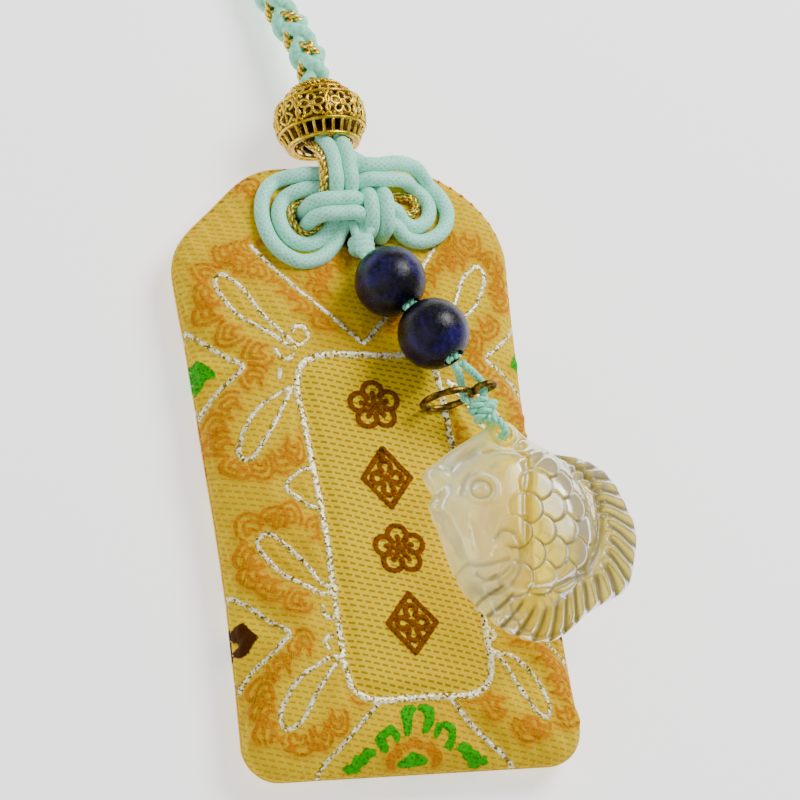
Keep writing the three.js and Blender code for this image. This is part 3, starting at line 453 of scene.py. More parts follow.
def aged_brass_look():
    look = Look("aged_brass", Metallic=1.0)
    place = look.place()
    stain = look.noise(place, 0.75, 5, 0.62)
    color = look.ramp(stain, (0.34, 46, 34, 10), (0.50, 104, 80, 26), (0.68, 190, 154, 60))
    return look.set(Base_Color=color, Roughness=look.spread(stain, 0.35, 0.65, 0.48, 0.24),
                    Normal=look.bump(look.noise(place, 4.0, 4, 0.6), 0.06, 0.5))


def lapis_look():
    look = Look("lapis", Specular_IOR_Level=0.22)
    place = look.place()
    blotch = look.noise(place, 0.17, 6, 0.6, 0.8)
    grain = look.noise(place, 1.3, 5, 0.7)
    veins = look.noise(place, 0.33, 7, 0.72, 1.4)
    color = look.ramp(blotch * 0.7 + grain * 0.3, (0.38, 8, 10, 6), (0.46, 9, 10, 14),
                      (0.52, 14, 10, 38), (0.60, 24, 14, 82), (0.72, 44, 34, 118))
    color = look.mix(look.spread(veins, 0.62, 0.72) * 0.42, color, rgb(70, 72, 56))
    specks = look.spread(look.cells(place, 1.5), 0.12, 0.06)
    pyrite = specks * look.spread(look.noise(place, 0.4, 2), 0.52, 0.62)
    return look.set(Base_Color=look.mix(pyrite, color, rgb(150, 126, 70)), Metallic=pyrite * 0.9,
                    Roughness=look.spread(grain, 0.35, 0.65, 0.12, 0.42),
                    Normal=look.bump(grain + veins * 0.8, 0.1, 0.6))


def crystal_look():
    """Quartz with a milky haze, clearer towards the tail, pale at the head and with a painted yellow from
    the middle on, standing for the pouch's yellow cloth seen in and through it; lamps shine through it.
    """
    look = Look("crystal", Transmission_Weight=1.0, IOR=1.48, Specular_IOR_Level=0.6)
    place = look.place()
    haze = look.noise(place, 0.16, 5, 0.6, 0.6)
    x = look.value("SeparateXYZ", {0: place})
    tailwards = look.spread(x, 6.0, 26.0) + (haze - 0.5) * 0.5
    carved = look.attribute("carved")
    # Painted shade: the carved grooves get a darker grey-brown, standing for the dark refraction in them.
    groove_shade = carved * 0.85
    # Pale at the head, yellow in the middle and duller towards the tail; the yellow is painted, standing
    # for the pouch's yellow cloth seen in and through the crystal.
    tint = look.ramp(tailwards, (0.05, 255, 255, 198), (0.5, 254, 231, 54), (0.95, 220, 203, 110))
    look.set(Base_Color=look.mix(groove_shade, tint, rgb(104, 96, 60)),
             Roughness=look.spread(haze, 0.35, 0.7, 0.06, 0.2),
             Normal=look.bump(look.noise(place, 1.6, 3, 0.5), 0.05, 0.2))
    # The milky part has the same painted yellow.
    milk = look.ramp(tailwards, (0.0, 255, 255, 212), (0.45, 253, 230, 64), (1.0, 198, 182, 92))
    milk = look.mix(groove_shade, milk, rgb(92, 84, 50))
    glow, matt = [look.value("Bsdf" + kind, {"Color": milk}) for kind in ("Translucent", "Diffuse")]
    milky = look.value("MixShader", {0: 0.55, 1: glow, 2: matt})
    share = look.spread(haze, 0.36, 0.7, 0.48, 0.72) - tailwards * 0.2 + carved * 0.3
    body = look.value("MixShader", {0: share, 1: look.bsdf.outputs[0], 2: milky})
    clear = look.value("BsdfTransparent", {"Color": (0.97, 0.95, 0.88, 1)})
    shadow = look.value("LightPath", (), "Is Shadow Ray") * 0.8
    whole = look.value("MixShader", {0: shadow, 1: body, 2: clear})
    look.feed(look.tree.nodes["Material Output"].inputs["Surface"], whole)
    return look.material


def paper_look(name, base, dark, scale):
    look = Look(name, Roughness=0.9)
    fibre = look.noise(look.place(), scale, 5, 0.7)
    return look.set(Base_Color=look.ramp(fibre, (0.3, *dark), (0.7, *base)),
                    Normal=look.bump(fibre, 0.05, 0.6))


BROCADE = brocade_look()
MINT = satin_look("mint_satin", (70, 188, 150), (186, 255, 234))
MINT_THREAD = satin_look("mint_thread", (72, 186, 146), (168, 250, 220), 3, 0.9)
GOLD_THREAD = gold_thread_look()
GILT = gilt_look()
BRASS = aged_brass_look()
LAPIS = lapis_look()
CRYSTAL = crystal_look()
STITCH = satin_look("seam_thread", (150, 104, 4), (222, 170, 20), 2, 1.5)


# Pouch surface

TOP, LENGTH = 45.4, 89.6
BOTTOM_WIDTH, WAIST_WIDTH, SHOULDER_WIDTH, TOP_WIDTH = 48.6, 47.2, 49.4, 16.0
CORNER_RADIUS, SHOULDER_HEIGHT = 5.0, 15.2
SEAM_HEIGHT, CROWN, WALL = 4.3, 4.3, 0.8
CROWN_LENGTH, SEAM_LIP, AIR = 31, 0.12, 0.45


def smoothstep(value, low, high):
    t = np.clip((np.asarray(value, float) - low) / (high - low), 0, 1)
    return t * t * (3 - 2 * t)


def bezier(*points):
    """A Bezier curve; its degree is one less than its points."""
    s = np.linspace(0, 1, 120)[:, None]
    degree = len(points) - 1
    return sum(math.comb(degree, k) * s ** k * (1 - s) ** (degree - k) * np.array(p)
               for k, p in enumerate(points))


def pouch_outline(count):
    """The pouch's edge from above: round bottom corners, a slight waist, sloping shoulders."""
    foot, shoulder, start = BOTTOM_WIDTH / 2, SHOULDER_WIDTH / 2, TOP - SHOULDER_HEIGHT
    corner = TOP - LENGTH + CORNER_RADIUS
    waist = WAIST_WIDTH - (foot + shoulder) / 2
    turn = np.linspace(-math.pi / 2, 0, 60)
    arc = np.stack([foot - CORNER_RADIUS + CORNER_RADIUS * np.cos(turn),
                    corner + CORNER_RADIUS * np.sin(turn)], 1)
    side = bezier((foot, corner), (waist, 0), (shoulder, start))
    slope = bezier((shoulder, start), (shoulder, start + SHOULDER_HEIGHT / 2), (TOP_WIDTH, TOP),
                   (TOP_WIDTH / 2, TOP))
    right = np.concatenate([arc, side[1:], slope[1:]])
    return spaced(np.concatenate([right, right[::-1] * [-1, 1]]), count=count, closed=True)


EDGE = pouch_outline(720)


def reach_of(outline, angle):
    """How far a closed outline is from its origin in each direction."""
    turn = np.arctan2(outline[:, 1], outline[:, 0])
    order = np.argsort(turn)
    return np.interp(angle, turn[order], np.hypot(*outline.T)[order], period=2 * math.pi)


def share_of(x, y):
    """Where a place lies between the pouch's middle, 0, and its edge, 1."""
    return np.minimum(1, np.hypot(x, y) / reach_of(EDGE, np.arctan2(y, x)))


def crown_at(y):
    """How high the padding stands over the seam; it thins out towards the top."""
    return CROWN * (1 - 0.5 * smoothstep(y, TOP - CROWN_LENGTH, TOP))


def dome_of(share):
    return np.sqrt(np.maximum(0, 1 - share ** 6))


def front_at(x, y):
    return SEAM_HEIGHT + crown_at(y) * dome_of(share_of(x, y))


def resting_on(x, y, radius):
    """The middle of something round that lies on the front with a little air under it."""
    return np.array([x, y, float(front_at(x, y)) + radius + AIR])


# The brocade's figures, from the pouch's middle: metallic outlines, curled petals, leaves.

PATTERN_MIDDLE = 0.3
FAR = 2.5


def mirrored(lines):
    return [[(2 * PATTERN_MIDDLE - x, y) for x, y in line] for line in lines]


def round_line(points, closed=False):
    return spaced(flat_spline(points, closed, 6), 0.45)


LABEL = [(3.9, 15.0), (-2.5, 15.4), (-7.2, 15.2), (-9.4, 13.8), (-10.3, 10.6), (-10.1, 6.1),
         (-9.8, -1.2), (-9.7, -10.0), (-9.7, -18.6), (-9.6, -25.8), (-9.4, -30.9), (-8.7, -33.0),
         (-7.0, -34.2), (-5.1, -34.6), (-2.8, -34.6), (0.1, -34.5), (3.9, -34.5), (6.4, -34.6),
         (8.8, -34.3), (10.6, -33.0), (11.4, -30.8), (11.4, -26.6), (11.0, -12.0), (10.8, 2.4),
         (10.4, 10.6), (9.6, 14.0), (7.4, 15.0)]
DIAGONAL = [(-14.0, 33.3), (-12.1, 30.8), (-8.3, 26.0), (-4.3, 21.8), (-2.1, 19.3), (0.3, 16.9)]
DROP_A = [(-9.4, 17.1), (-10.7, 18.3), (-13.4, 21.5), (-16.0, 26.5), (-17.5, 28.0), (-18.6, 28.7),
          (-19.5, 27.9), (-19.5, 26.5), (-18.6, 24.6), (-17.2, 22.3), (-15.2, 20.6), (-11.9, 18.1),
          (-10.3, 16.8), (-8.5, 17.3), (-7.6, 18.5), (-8.1, 19.8), (-9.3, 19.8), (-9.8, 19.2)]
DROP_B = [(-11.1, 10.9), (-13.6, 9.7), (-16.1, 8.2), (-17.7, 6.5), (-19.0, 4.3), (-19.8, 2.4),
          (-19.4, 1.0), (-18.2, 1.0), (-16.9, 2.4), (-15.5, 4.0), (-14.1, 6.0), (-12.6, 8.3),
          (-11.4, 10.3)]
DROP_C = [(-9.2, -18.4), (-11.4, -17.7), (-12.8, -15.4), (-14.2, -13.5), (-15.7, -11.7),
          (-16.9, -10.4), (-18.0, -10.0), (-19.1, -10.6), (-19.2, -11.9), (-18.2, -13.8),
          (-16.8, -15.6), (-15.3, -16.9), (-13.2, -18.2), (-11.3, -19.3), (-9.2, -18.6)]
DROP_D = [(-10.0, -28.3), (-11.1, -28.1), (-13.6, -29.3), (-16.0, -30.8), (-17.7, -32.7),
          (-18.7, -34.3), (-19.3, -35.9), (-19.0, -37.3), (-18.4, -37.8), (-16.7, -37.0),
          (-15.5, -35.6), (-14.4, -33.7), (-13.0, -31.8), (-11.3, -29.7), (-10.0, -28.5)]
DROP_E = [(11.6, -28.6), (12.4, -28.8), (14.4, -29.3), (16.2, -30.8), (17.7, -32.6), (18.9, -34.6),
          (19.4, -36.6), (19.0, -37.9), (17.7, -37.6), (16.5, -35.9), (15.0, -33.6), (13.8, -31.2),
          (12.6, -29.3), (11.6, -28.8)]
SIDE_LINES = [
    [(-24.4, 20.9), (-21.9, 18.0), (-19.5, 15.9), (-17.5, 14.3), (-19.1, 12.9), (-21.7, 10.9),
     (-23.2, 9.2), (-24.4, 6.8)],
    [(-24.2, -17.6), (-21.4, -20.3), (-19.6, -22.2), (-17.8, -23.6), (-16.6, -24.5), (-17.9, -25.8),
     (-20.0, -27.6), (-21.9, -28.7), (-23.3, -30.1), (-24.4, -32.0)],
    [(-9.6, -1.1), (-11.4, -1.3), (-13.3, -2.5), (-14.2, -3.8), (-13.1, -5.0), (-11.5, -6.4),
     (-9.7, -7.3)],
]
HOOKS = [
    [(-12.7, 16.6), (-12.2, 15.4), (-11.1, 15.0), (-10.2, 15.6)],
    [(-12.4, 13.5), (-12.7, 12.3)],
    [(-11.6, -21.1), (-11.5, -22.3), (-10.7, -22.7), (-9.8, -22.4)],
    [(-10.7, -25.2), (-11.6, -25.4), (-11.9, -26.5), (-11.4, -26.8)],
]
BOTTOM_LINES = [
    [(-5.1, -34.8), (-7.0, -36.5), (-9.2, -38.6), (-11.4, -40.8), (-13.1, -42.3), (-14.6, -44.2)],
    [(5.0, -34.7), (6.5, -37.0), (8.0, -39.0), (9.9, -40.9), (12.2, -42.8), (13.6, -44.2)],
]
LEAF = [(-24.2, 15.7), (-23.3, 16.2), (-22.5, 15.5), (-21.3, 13.9), (-21.5, 13.2), (-22.5, 13.1),
        (-22.9, 12.7), (-23.8, 11.4), (-24.4, 12.3), (-23.9, 13.1), (-24.3, 14.1)]
BUD = [(-24.2, -23.3), (-23.5, -22.3), (-22.4, -22.1), (-21.8, -23.3), (-20.9, -24.6),
       (-21.7, -25.4), (-22.4, -26.6), (-23.4, -26.9), (-24.2, -26.0), (-23.2, -25.0),
       (-23.9, -24.2)]
FAN = [
    [(-11.1, -43.4), (-10.4, -42.7), (-10.0, -42.9), (-9.3, -41.6), (-8.7, -41.9), (-7.9, -40.9),
     (-6.5, -41.1), (-6.2, -41.9), (-7.3, -42.3), (-7.6, -43.0), (-8.3, -43.1), (-8.5, -43.9),
     (-10.2, -43.9)],
    [(-6.5, -39.8), (-5.8, -39.0), (-4.0, -37.9), (-2.8, -39.2), (-2.9, -40.3), (-3.6, -40.5),
     (-4.1, -39.4), (-5.0, -39.9), (-4.5, -40.9), (-4.7, -41.7), (-5.7, -41.4), (-6.5, -40.3)],
    [(-2.6, -36.5), (-1.7, -35.5), (-0.3, -35.5), (-0.1, -36.2), (-0.7, -36.9), (-1.1, -39.0),
     (-1.6, -39.8), (-2.3, -39.6), (-2.4, -37.9)],
    [(0.1, -35.6), (1.4, -35.4), (2.5, -36.2), (2.2, -38.1), (1.3, -39.4), (0.4, -39.6),
     (0.4, -39.0), (0.9, -37.5), (0.7, -36.7), (0.0, -36.2)],
    [(2.1, -39.2), (2.6, -38.1), (4.3, -38.0), (5.4, -38.8), (5.1, -40.7), (4.4, -41.9),
     (3.2, -41.3), (4.1, -40.4), (4.2, -39.3), (3.4, -38.9), (2.7, -40.0), (2.0, -40.2)],
    [(4.9, -41.6), (6.2, -40.8), (7.3, -41.2), (7.7, -42.0), (8.4, -41.9), (8.9, -42.8),
     (9.7, -42.8), (10.0, -43.7), (8.4, -44.1), (7.0, -43.9), (6.9, -43.1), (6.2, -43.0),
     (6.0, -42.3)],
    [(-3.4, -43.0), (-2.3, -42.3), (-1.1, -41.6), (0.3, -42.2), (1.3, -42.8), (0.9, -43.3),
     (-1.3, -43.6), (-3.1, -43.5)],
]


PETAL_RNG = np.random.default_rng(5)
PETAL_GAP = 2.4


def petals(root, tip, side_count=3):
    """Lobes of curled threads along both sides of a drop and round its tip."""
    root, tip = np.array(root, float), np.array(tip, float)
    long = np.linalg.norm(tip - root)
    axis = (tip - root) / long
    across = np.array([-axis[1], axis[0]])
    spots = []
    for side in (-1, 1):
        for k in range(side_count):
            t = (k + 0.75) / (side_count + 0.35)
            lean = 0.45 * (t - 0.35)
            base = root + axis * long * t + across * side * (0.9 + 1.2 * math.sin(math.pi * t))
            spots.append((base, across * side * math.cos(lean) + axis * math.sin(lean)))
    for degrees in (-70, 0, 70):
        turn = math.radians(degrees)
        spots.append((tip - axis * 1.3, axis * math.cos(turn) + across * math.sin(turn)))
    lines = []
    for base, out in spots:
        lean = PETAL_RNG.uniform(-0.3, 0.3)
        out = np.array([out[0] * math.cos(lean) - out[1] * math.sin(lean),
                        out[0] * math.sin(lean) + out[1] * math.cos(lean)])
        aside = np.array([out[1], -out[0]])
        wide, high, phase = PETAL_RNG.uniform([0.86, 0.9, 0], [1.12, 1.16, 6.3])
        for radius, first, last, rise in ((1.85, -118, 112, 1.0), (1.0, -100, 150, 0.85)):
            turn = np.radians(np.linspace(first, last, 26))[:, None]
            ripple = radius * (1 + 0.09 * np.cos(3 * turn + phase))
            lines.append(base + out * (PETAL_GAP + high * (rise + ripple * np.cos(turn)))
                         + aside * wide * ripple * np.sin(turn))
        curl = np.array([(-0.2, -0.7), (0.15, 0.0), (0.1, 0.6), (-0.25, 1.1), (-0.5, 0.8)])
        lines.append(base + out * (PETAL_GAP + curl[:, 1:]) + aside * curl[:, :1])
    return lines


def polar(x, y, radius, degrees):
    turn = np.radians(degrees)
    return x + radius * np.cos(turn), y + radius * np.sin(turn)


def arc_points(x, y, radius, first, last, count=14):
    return np.stack(polar(x, y, radius, np.linspace(first, last, count)), 1)


def plum(x, y):
    """A five-petalled blossom in open strokes."""
    lines = [arc_points(x, y, 0.35, 0, 360)]
    for middle in range(90, 450, 72):
        lines.append(arc_points(*polar(x, y, 2.15, middle), 1.35, middle - 138, middle + 138))
        lines.append(np.array([polar(x, y, 0.9, middle), polar(x, y, 1.9, middle)]))
    return lines


def lozenge(x, y):
    """A flower of four petals set in a diamond."""
    lines = [np.array([(x, y + 4.2), (x + 3.5, y), (x, y - 4.2), (x - 3.5, y), (x, y + 4.2)])]
    for turn, reach in ((90, 1.7), (0, 1.4), (270, 1.7), (180, 1.4)):
        lines.append(arc_points(*polar(x, y, reach, turn), 0.8, turn - 140, turn + 140, 10))
    return lines + [arc_points(x, y, 0.22, 0, 360, 8)]


MOTIFS = plum(0.2, 7.4) + lozenge(0.3, -3.2) + plum(0.4, -13.6) + lozenge(0.6, -24.2)
FLOWERS = [((-9.4, 17.1), (-18.6, 27.6)), ((-11.1, 10.9), (-19.4, 1.9)),
           ((-9.2, -18.4), (-18.6, -10.8)), ((-10.0, -28.3), (-18.8, -36.8))]
ORANGE = []
for flower in FLOWERS:
    ORANGE += petals(*flower) + petals(*mirrored([flower])[0])
ORANGE += petals((0.3, 19.0), (0.3, 28.5)) + petals((-19.5, 39.0), (-13.2, 36.0), 1)
ORANGE += petals((20.1, 39.0), (13.8, 36.0), 1)
for degrees in (18, 54, 90, 126, 162):
    turn = math.radians(degrees)
    ORANGE += [arc_points(-0.9 + 3.0 * math.cos(turn), -43.3 + 2.3 * math.sin(turn), radius,
                          degrees - 110, degrees + 110) for radius in (0.95, 0.4)]
LABEL_AREA = round_line(LABEL, True)
SILVER = [round_line(line) for line in
          [DIAGONAL, DROP_A, DROP_B, DROP_C, DROP_D, DROP_E, *SIDE_LINES, *HOOKS, *BOTTOM_LINES,
           *mirrored([DIAGONAL, DROP_A, DROP_B, DROP_C, *SIDE_LINES, *HOOKS])]]
GREEN_AREAS = [np.array(area) for area in [*FAN, LEAF, *mirrored([LEAF])]]
MAROON_AREAS = [np.array(area) for area in [BUD, *mirrored([BUD])]]


def line_distance(points, lines, far=FAR):
    """How far each point is from the nearest line, up to far."""
    out = np.full(len(points), far)
    for line in lines:
        low, high = line.min(0) - far, line.max(0) + far
        near = np.flatnonzero(((points > low) & (points < high)).all(1))
        p, best = points[near], out[near]
        for a, b in zip(line, line[1:]):
            d = b - a
            t = np.clip(((p - a) @ d) / max(d @ d, 1e-9), 0, 1)[:, None]
            best = np.minimum(best, np.linalg.norm(p - a - t * d, axis=1))
        out[near] = best
    return out


def within(points, area):
    """Which points lie inside a closed outline."""
    x, y = points.T
    inside = np.zeros(len(points), bool)
    for (ax, ay), (bx, by) in zip(area, np.roll(area, -1, 0)):
        if ay != by:
            inside ^= ((ay > y) != (by > y)) & (x < (bx - ax) * (y - ay) / (by - ay) + ax)
    return inside


def area_distance(points, areas):
    """Distance to the areas' edges, negative inside."""
    out = np.full(len(points), FAR)
    for area in areas:
        edge = line_distance(points, [np.concatenate([area, area[:1]])])
        out = np.minimum(out, np.where(within(points, area), -edge, edge))
    return out


def slot_distance(x, y):
    """How far each point is from the slots that the knot's cords go through."""
    left = np.hypot(x + 5.5, np.maximum(0, np.abs(y - 36.6) - 1.1))
    right = np.hypot(np.maximum(0, np.abs(x - 3.0) - 2.1), y - 33.4)
    return np.minimum(left, right)


def figures(points, front):
    """How far each point is from the edges of each kind of figure; only the front has motifs."""
    silver = np.minimum(line_distance(points, SILVER) - 0.32, line_distance(points, [LABEL_AREA]) - 0.46)
    label = area_distance(points, [LABEL_AREA])
    found = {
        "silver": silver, "label": label,
        "orange": np.max([line_distance(points, ORANGE) - 0.25, 0.8 - label, 0.35 - silver], axis=0),
        "green": area_distance(points, GREEN_AREAS), "maroon": area_distance(points, MAROON_AREAS),
        "hole": np.full(len(points), FAR), "motif": np.full(len(points), FAR)}
    if front:
        # Near the slots, where the dark brown of painted shade goes.
        found["hole"] = np.minimum(slot_distance(*points.T) - 1.3, FAR)
        found["motif"] = line_distance(points, MOTIFS) - 0.4
    return found


def raised(distance, height, edge=0.22):
    return height * (1 - smoothstep(distance, -edge, edge))


def relief_of(found):
    """How far the woven figures stand proud, with the ground puffed between the outlines."""
    heights = {"orange": 0.2, "silver": 0.2, "green": 0.22, "maroon": 0.2, "motif": 0.3}
    return (0.5 * smoothstep(found["silver"], 0.1, 2.4) - raised(found["label"], 0.18, 0.6)
            + sum(raised(found[name], height) for name, height in heights.items()))


def write_figures(piece, found, hub, wide):
    """Gives each point its distances, and the point that closes the first ring that ring's mean."""
    for name, values in found.items():
        layer = piece.data.attributes.new(name, "FLOAT", "POINT")
        full = np.full(len(piece.data.vertices), FAR, np.float32)
        full[:len(values)] = values
        full[hub] = values[:wide].mean()
        layer.data.foreach_set("value", full)


def ring_rows(shares, heights):
    """Rings of points in from the pouch's edge; heights gives z for a share and a y."""
    return np.array([np.column_stack([EDGE * share, heights(share, EDGE[:, 1] * share)])
                     for share in shares])


SHOULDER_X, SHOULDER_Y, SLUMP, SLUMP_SPREAD = -18, 39, 1.25, 48


def slumped(rows, drift=0.5):
    """The left shoulder sits a little lower than the right, and the middle drifts to the left."""
    x, y = rows[..., 0], rows[..., 1]
    sway = drift * smoothstep(y, -20, 8) * (1 - smoothstep(y, 30, 42))
    from_shoulder = (x - sway - SHOULDER_X) ** 2 + (y - SHOULDER_Y) ** 2
    weight = SLUMP * np.exp(-from_shoulder / SLUMP_SPREAD)
    out = rows.copy()
    out[..., 0] += weight - sway
    out[..., 1] -= weight
    return out


def row_normals(rows):
    around = np.roll(rows, -1, 1) - np.roll(rows, 1, 1)
    return unit(np.cross(np.gradient(rows, axis=0), around))


def along_rays(rows):
    """The weave's own coordinates: as far along each ray as the cloth is."""
    steps = np.linalg.norm(np.diff(rows, axis=0), axis=2)
    start = np.linalg.norm(rows[:1, :, :2], axis=2)
    reach = np.concatenate([start, start + np.cumsum(steps, axis=0)])
    return unit(rows[-1, :, :2]) * reach[..., None]


def panel_piece(name, rows, weave, inner, found, up):
    """One panel: its skin, the turn at its edge and its inner skin, closed in the middle."""
    shape = Shape()
    wide = rows.shape[1]
    uv = np.concatenate([weave, np.repeat(weave[-1:], len(inner), axis=0)])
    uv = np.concatenate([uv, uv[:, :1]], 1)
    skins = np.concatenate([slumped(rows), slumped(inner, 0.1)])
    ring = shape.grid(skins, uv=uv, flip=not up) + np.arange(wide)
    hub_uv = np.stack([np.zeros((wide, 2)), uv[0, :-1], uv[0, 1:]], 1)
    hub = shape.fan(rows[0].mean(0), ring, flip=not up, uv=hub_uv)
    shape.fan(inner[-1].mean(0), ring + (len(skins) - 1) * wide, flip=up)
    piece = shape.piece(name)
    write_figures(piece, found, hub, wide)
    return piece


def eyelet_dip(x, y):
    """How far the cords pull the front in round its slots."""
    return 0.85 * np.exp(-(slot_distance(x, y) / 1.7) ** 2)


def soft_lumps(x, y):
    """The padding's own unevenness."""
    return (0.16 * np.sin(x * 0.31 + 1.3) * np.sin(y * 0.23 + 0.4)
            + 0.10 * np.sin(x * 0.52 - y * 0.33 + 2.1) + 0.06 * np.sin(y * 0.71 + x * 0.17))


STITCH_PITCH = 2.7


def seam_pull(shares):
    """Small waves along the seam, from one stitch to the next."""
    near = smoothstep(shares, 0.86, 0.97)[:, None]
    return near * 0.13 * np.sin(lengths_along(EDGE) * 2 * math.pi / STITCH_PITCH)


TAIL = (1 - np.linspace(0.66, 0, 17) ** 2) ** (1 / 6)
SHARES = np.concatenate([np.arange(0.02, 0.91, 0.0079), TAIL[TAIL > 0.913]])


CLOTH_SCALE, CLOTH_FRAMES, CLOTH_PART, LARGEST_MOVE = 10, 20, 0.34, 0.9


def cloth_settings(cloth):
    settings = {
        "quality": 6, "mass": 0.2, "tension_stiffness": 30, "compression_stiffness": 12,
        "shear_stiffness": 8, "bending_stiffness": 0.6, "shrink_min": -0.004,
        "use_pressure": True, "uniform_pressure_force": 1.0, "vertex_group_mass": "seam"}
    for name, value in settings.items():
        setattr(cloth.settings, name, value)
    cloth.settings.effector_weights.gravity = 0


def swollen_moves():
    """The front swells over its padding as cloth, sewn down at the seam: a coarse net of rings,
    enlarged, and filled for some frames. A part of its moves comes back, in mm, for each share
    and spoke, because the padding under the real cloth holds most of it down."""
    shares = np.concatenate([[0.04], np.linspace(0.1, 0.9, 18), [0.935, 0.965, 0.985, 1.0]])
    edge = EDGE[::8]
    spokes = len(edge)
    rest = np.array([np.column_stack([edge * s, SEAM_HEIGHT + 0.93 * crown_at(edge[:, 1] * s)
                                      * dome_of(s)]) for s in shares])
    shape = Shape()
    first = shape.grid(rest * CLOTH_SCALE, flip=True)
    shape.fan(rest[0].mean(0) * CLOTH_SCALE, first + np.arange(spokes))
    net = shape.piece("cloth_net")
    seam = net.vertex_groups.new(name="seam")
    seam.add(list(range(rest[..., 0].size - spokes, rest[..., 0].size)), 1.0, "REPLACE")
    cloth_settings(net.modifiers.new("cloth", "CLOTH"))
    scene = bpy.context.scene
    for frame_number in range(1, CLOTH_FRAMES + 1):
        scene.frame_set(frame_number)
    got = net.evaluated_get(bpy.context.evaluated_depsgraph_get()).data
    after = np.zeros(len(got.vertices) * 3)
    got.vertices.foreach_get("co", after)
    after = after[:rest.size].reshape(rest.shape) / (CLOTH_SCALE * MM)
    scene.frame_set(1)
    bpy.data.objects.remove(net)
    moves = (after - rest) * CLOTH_PART
    size = np.linalg.norm(moves, axis=2, keepdims=True)
    moves *= np.minimum(1, LARGEST_MOVE / np.maximum(size, 1e-9))
    wave = np.fft.rfft(moves, axis=1)
    wide = np.zeros((len(shares), len(EDGE) // 2 + 1, 3), complex)
    wide[:, :wave.shape[1]] = wave
    return shares, np.fft.irfft(wide, len(EDGE), axis=1) * len(EDGE) / spokes


def swollen(rows):
    shares, moves = swollen_moves()
    out = rows.copy()
    for k in range(3):
        for j in range(rows.shape[1]):
            out[:, j, k] += np.interp(SHARES, shares, moves[:, j, k])
    return out


def panel(front, shares, height, fade_from, lift_of, inner_height):
    """One brocade panel: rings that the height gives, raised by its figures, with an inner skin."""
    side, name = (1, "pouch_front") if front else (-1, "pouch_back")
    rows = ring_rows(shares, height)
    rows[-1, :, 2] = SEAM_HEIGHT + SEAM_LIP * side
    weave = along_rays(rows)
    normals = row_normals(rows)
    normals *= side * np.sign(normals[..., 2:] + 1e-9)
    found = figures(rows[..., :2].reshape(-1, 2) * [side, 1], front)
    lift = lift_of(rows, relief_of(found).reshape(rows.shape[:2]))
    lift *= 1 - smoothstep(shares, fade_from, 1.0)[:, None]
    rows = (swollen(rows) if front else rows) + normals * lift[..., None]
    scale = 1 - WALL / (WAIST_WIDTH / 2)
    inner_shares = np.array([1.0, 0.97, 0.9, 0.8, 0.65, 0.45, 0.2])
    inner = ring_rows(inner_shares * scale, lambda s, y: inner_height(s / scale, y))
    piece = panel_piece(name + "_brocade", rows, weave, inner, found, front)
    finish_piece(piece, "pouch", "brocade", [BROCADE], name)


SUNK, BACK_SUNK, BACK_RELIEF, BACK_EDGE = 0.12, 0.6, 0.55, 0.14


def pouch_front():
    def lift_of(rows, relief):
        x, y = rows[..., 0], rows[..., 1]
        return relief - SUNK + soft_lumps(x, y) - eyelet_dip(x, y) - seam_pull(SHARES)

    panel(True, SHARES, lambda s, y: SEAM_HEIGHT + crown_at(y) * dome_of(s), 0.955, lift_of,
          lambda s, y: SEAM_HEIGHT + 0.15 + (crown_at(y) - WALL - 0.15) * dome_of(s))


def back_depth(share):
    inwards = np.minimum(1, (1 - share) / BACK_EDGE)
    return np.sqrt(np.maximum(0, 1 - (1 - inwards) ** 2))


def back_at(share, y):
    lift = 2.9 * smoothstep(y, TOP - 16.5, TOP - 11)
    return SEAM_HEIGHT - (SEAM_HEIGHT - lift) * back_depth(share)


def pouch_back():
    tail = 1 - BACK_EDGE * (1 - np.cos(np.linspace(math.pi / 2, 0, 16)))
    panel(False, np.concatenate([np.arange(0.02, 0.855, 0.0105), tail]), back_at, 0.94,
          lambda rows, relief: np.clip(relief, 0, BACK_RELIEF) - BACK_SUNK,
          lambda s, y: np.minimum(back_at(s, y) + WALL + 0.2, SEAM_HEIGHT - 0.3))


def seam_stitches():
    """Small slanted stitches that close the seam between the two panels."""
    shape = Shape()
    line = slumped(pouch_outline(132))
    ahead = np.roll(line, -1, 0)
    outward = unit((ahead - line)[:, ::-1] * [1, -1])
    for p, q, n in zip(line, ahead, outward):
        stitch = [(*(p * (1 - share) + q * share - n * inset), SEAM_HEIGHT + rise)
                  for share, inset, rise in ((0.75, 0.5, 1.0), (0.5, 0.08, 0.0), (0.25, 0.5, -1.0))]
        add_tube(shape, spline(stitch, per=4), 0.15, 6)
    shape.finish("seam_stitches", "pouch", "brocade", [STITCH])


# Knot

KNOT_X, KNOT_Y = 1.7, 39.05
INNER_ROW, OUTER_ROW = 37.675, 35.475
INNER_TOP, OUTER_TOP = 40.425, 42.625
LEFT_COLUMN, SECOND_COLUMN, OUTER_COLUMN, INNER_COLUMN = 0.525, -1.675, 2.875, 5.075
GOLD_LEVEL = float(front_at(KNOT_X, OUTER_ROW)) + 0.9
LOW = GOLD_LEVEL + 1.35
HIGH = LOW + 3.05
BEAD_CENTRE = np.array([-1.2, 52.1, 7.0])
MOUTH = 47.6
BORE_END = 54.5
BACK_LEVEL = 1.3
MINT_RADIUS, MINT_LAID, GOLD_LAID = 1.08, 0.92, 0.5


def from_bead(column, x, z):
    """Down from the bead's bore to one of the knot's columns."""
    return [(x, BORE_END, z), (x, MOUTH + 2.6, z), (x, MOUTH + 1, z + 0.4),
            ((2 * x + column) / 3, MOUTH - 0.2, z + 1.4),
            ((x + 2 * column) / 3, MOUTH - 1.6, HIGH - 0.8),
            (column, OUTER_TOP + 1.3, HIGH - 0.1), (column, OUTER_TOP - 0.5, HIGH),
            (column, INNER_TOP, HIGH), (column, INNER_ROW, LOW), (column - 0.1, INNER_ROW - 1.5, LOW)]


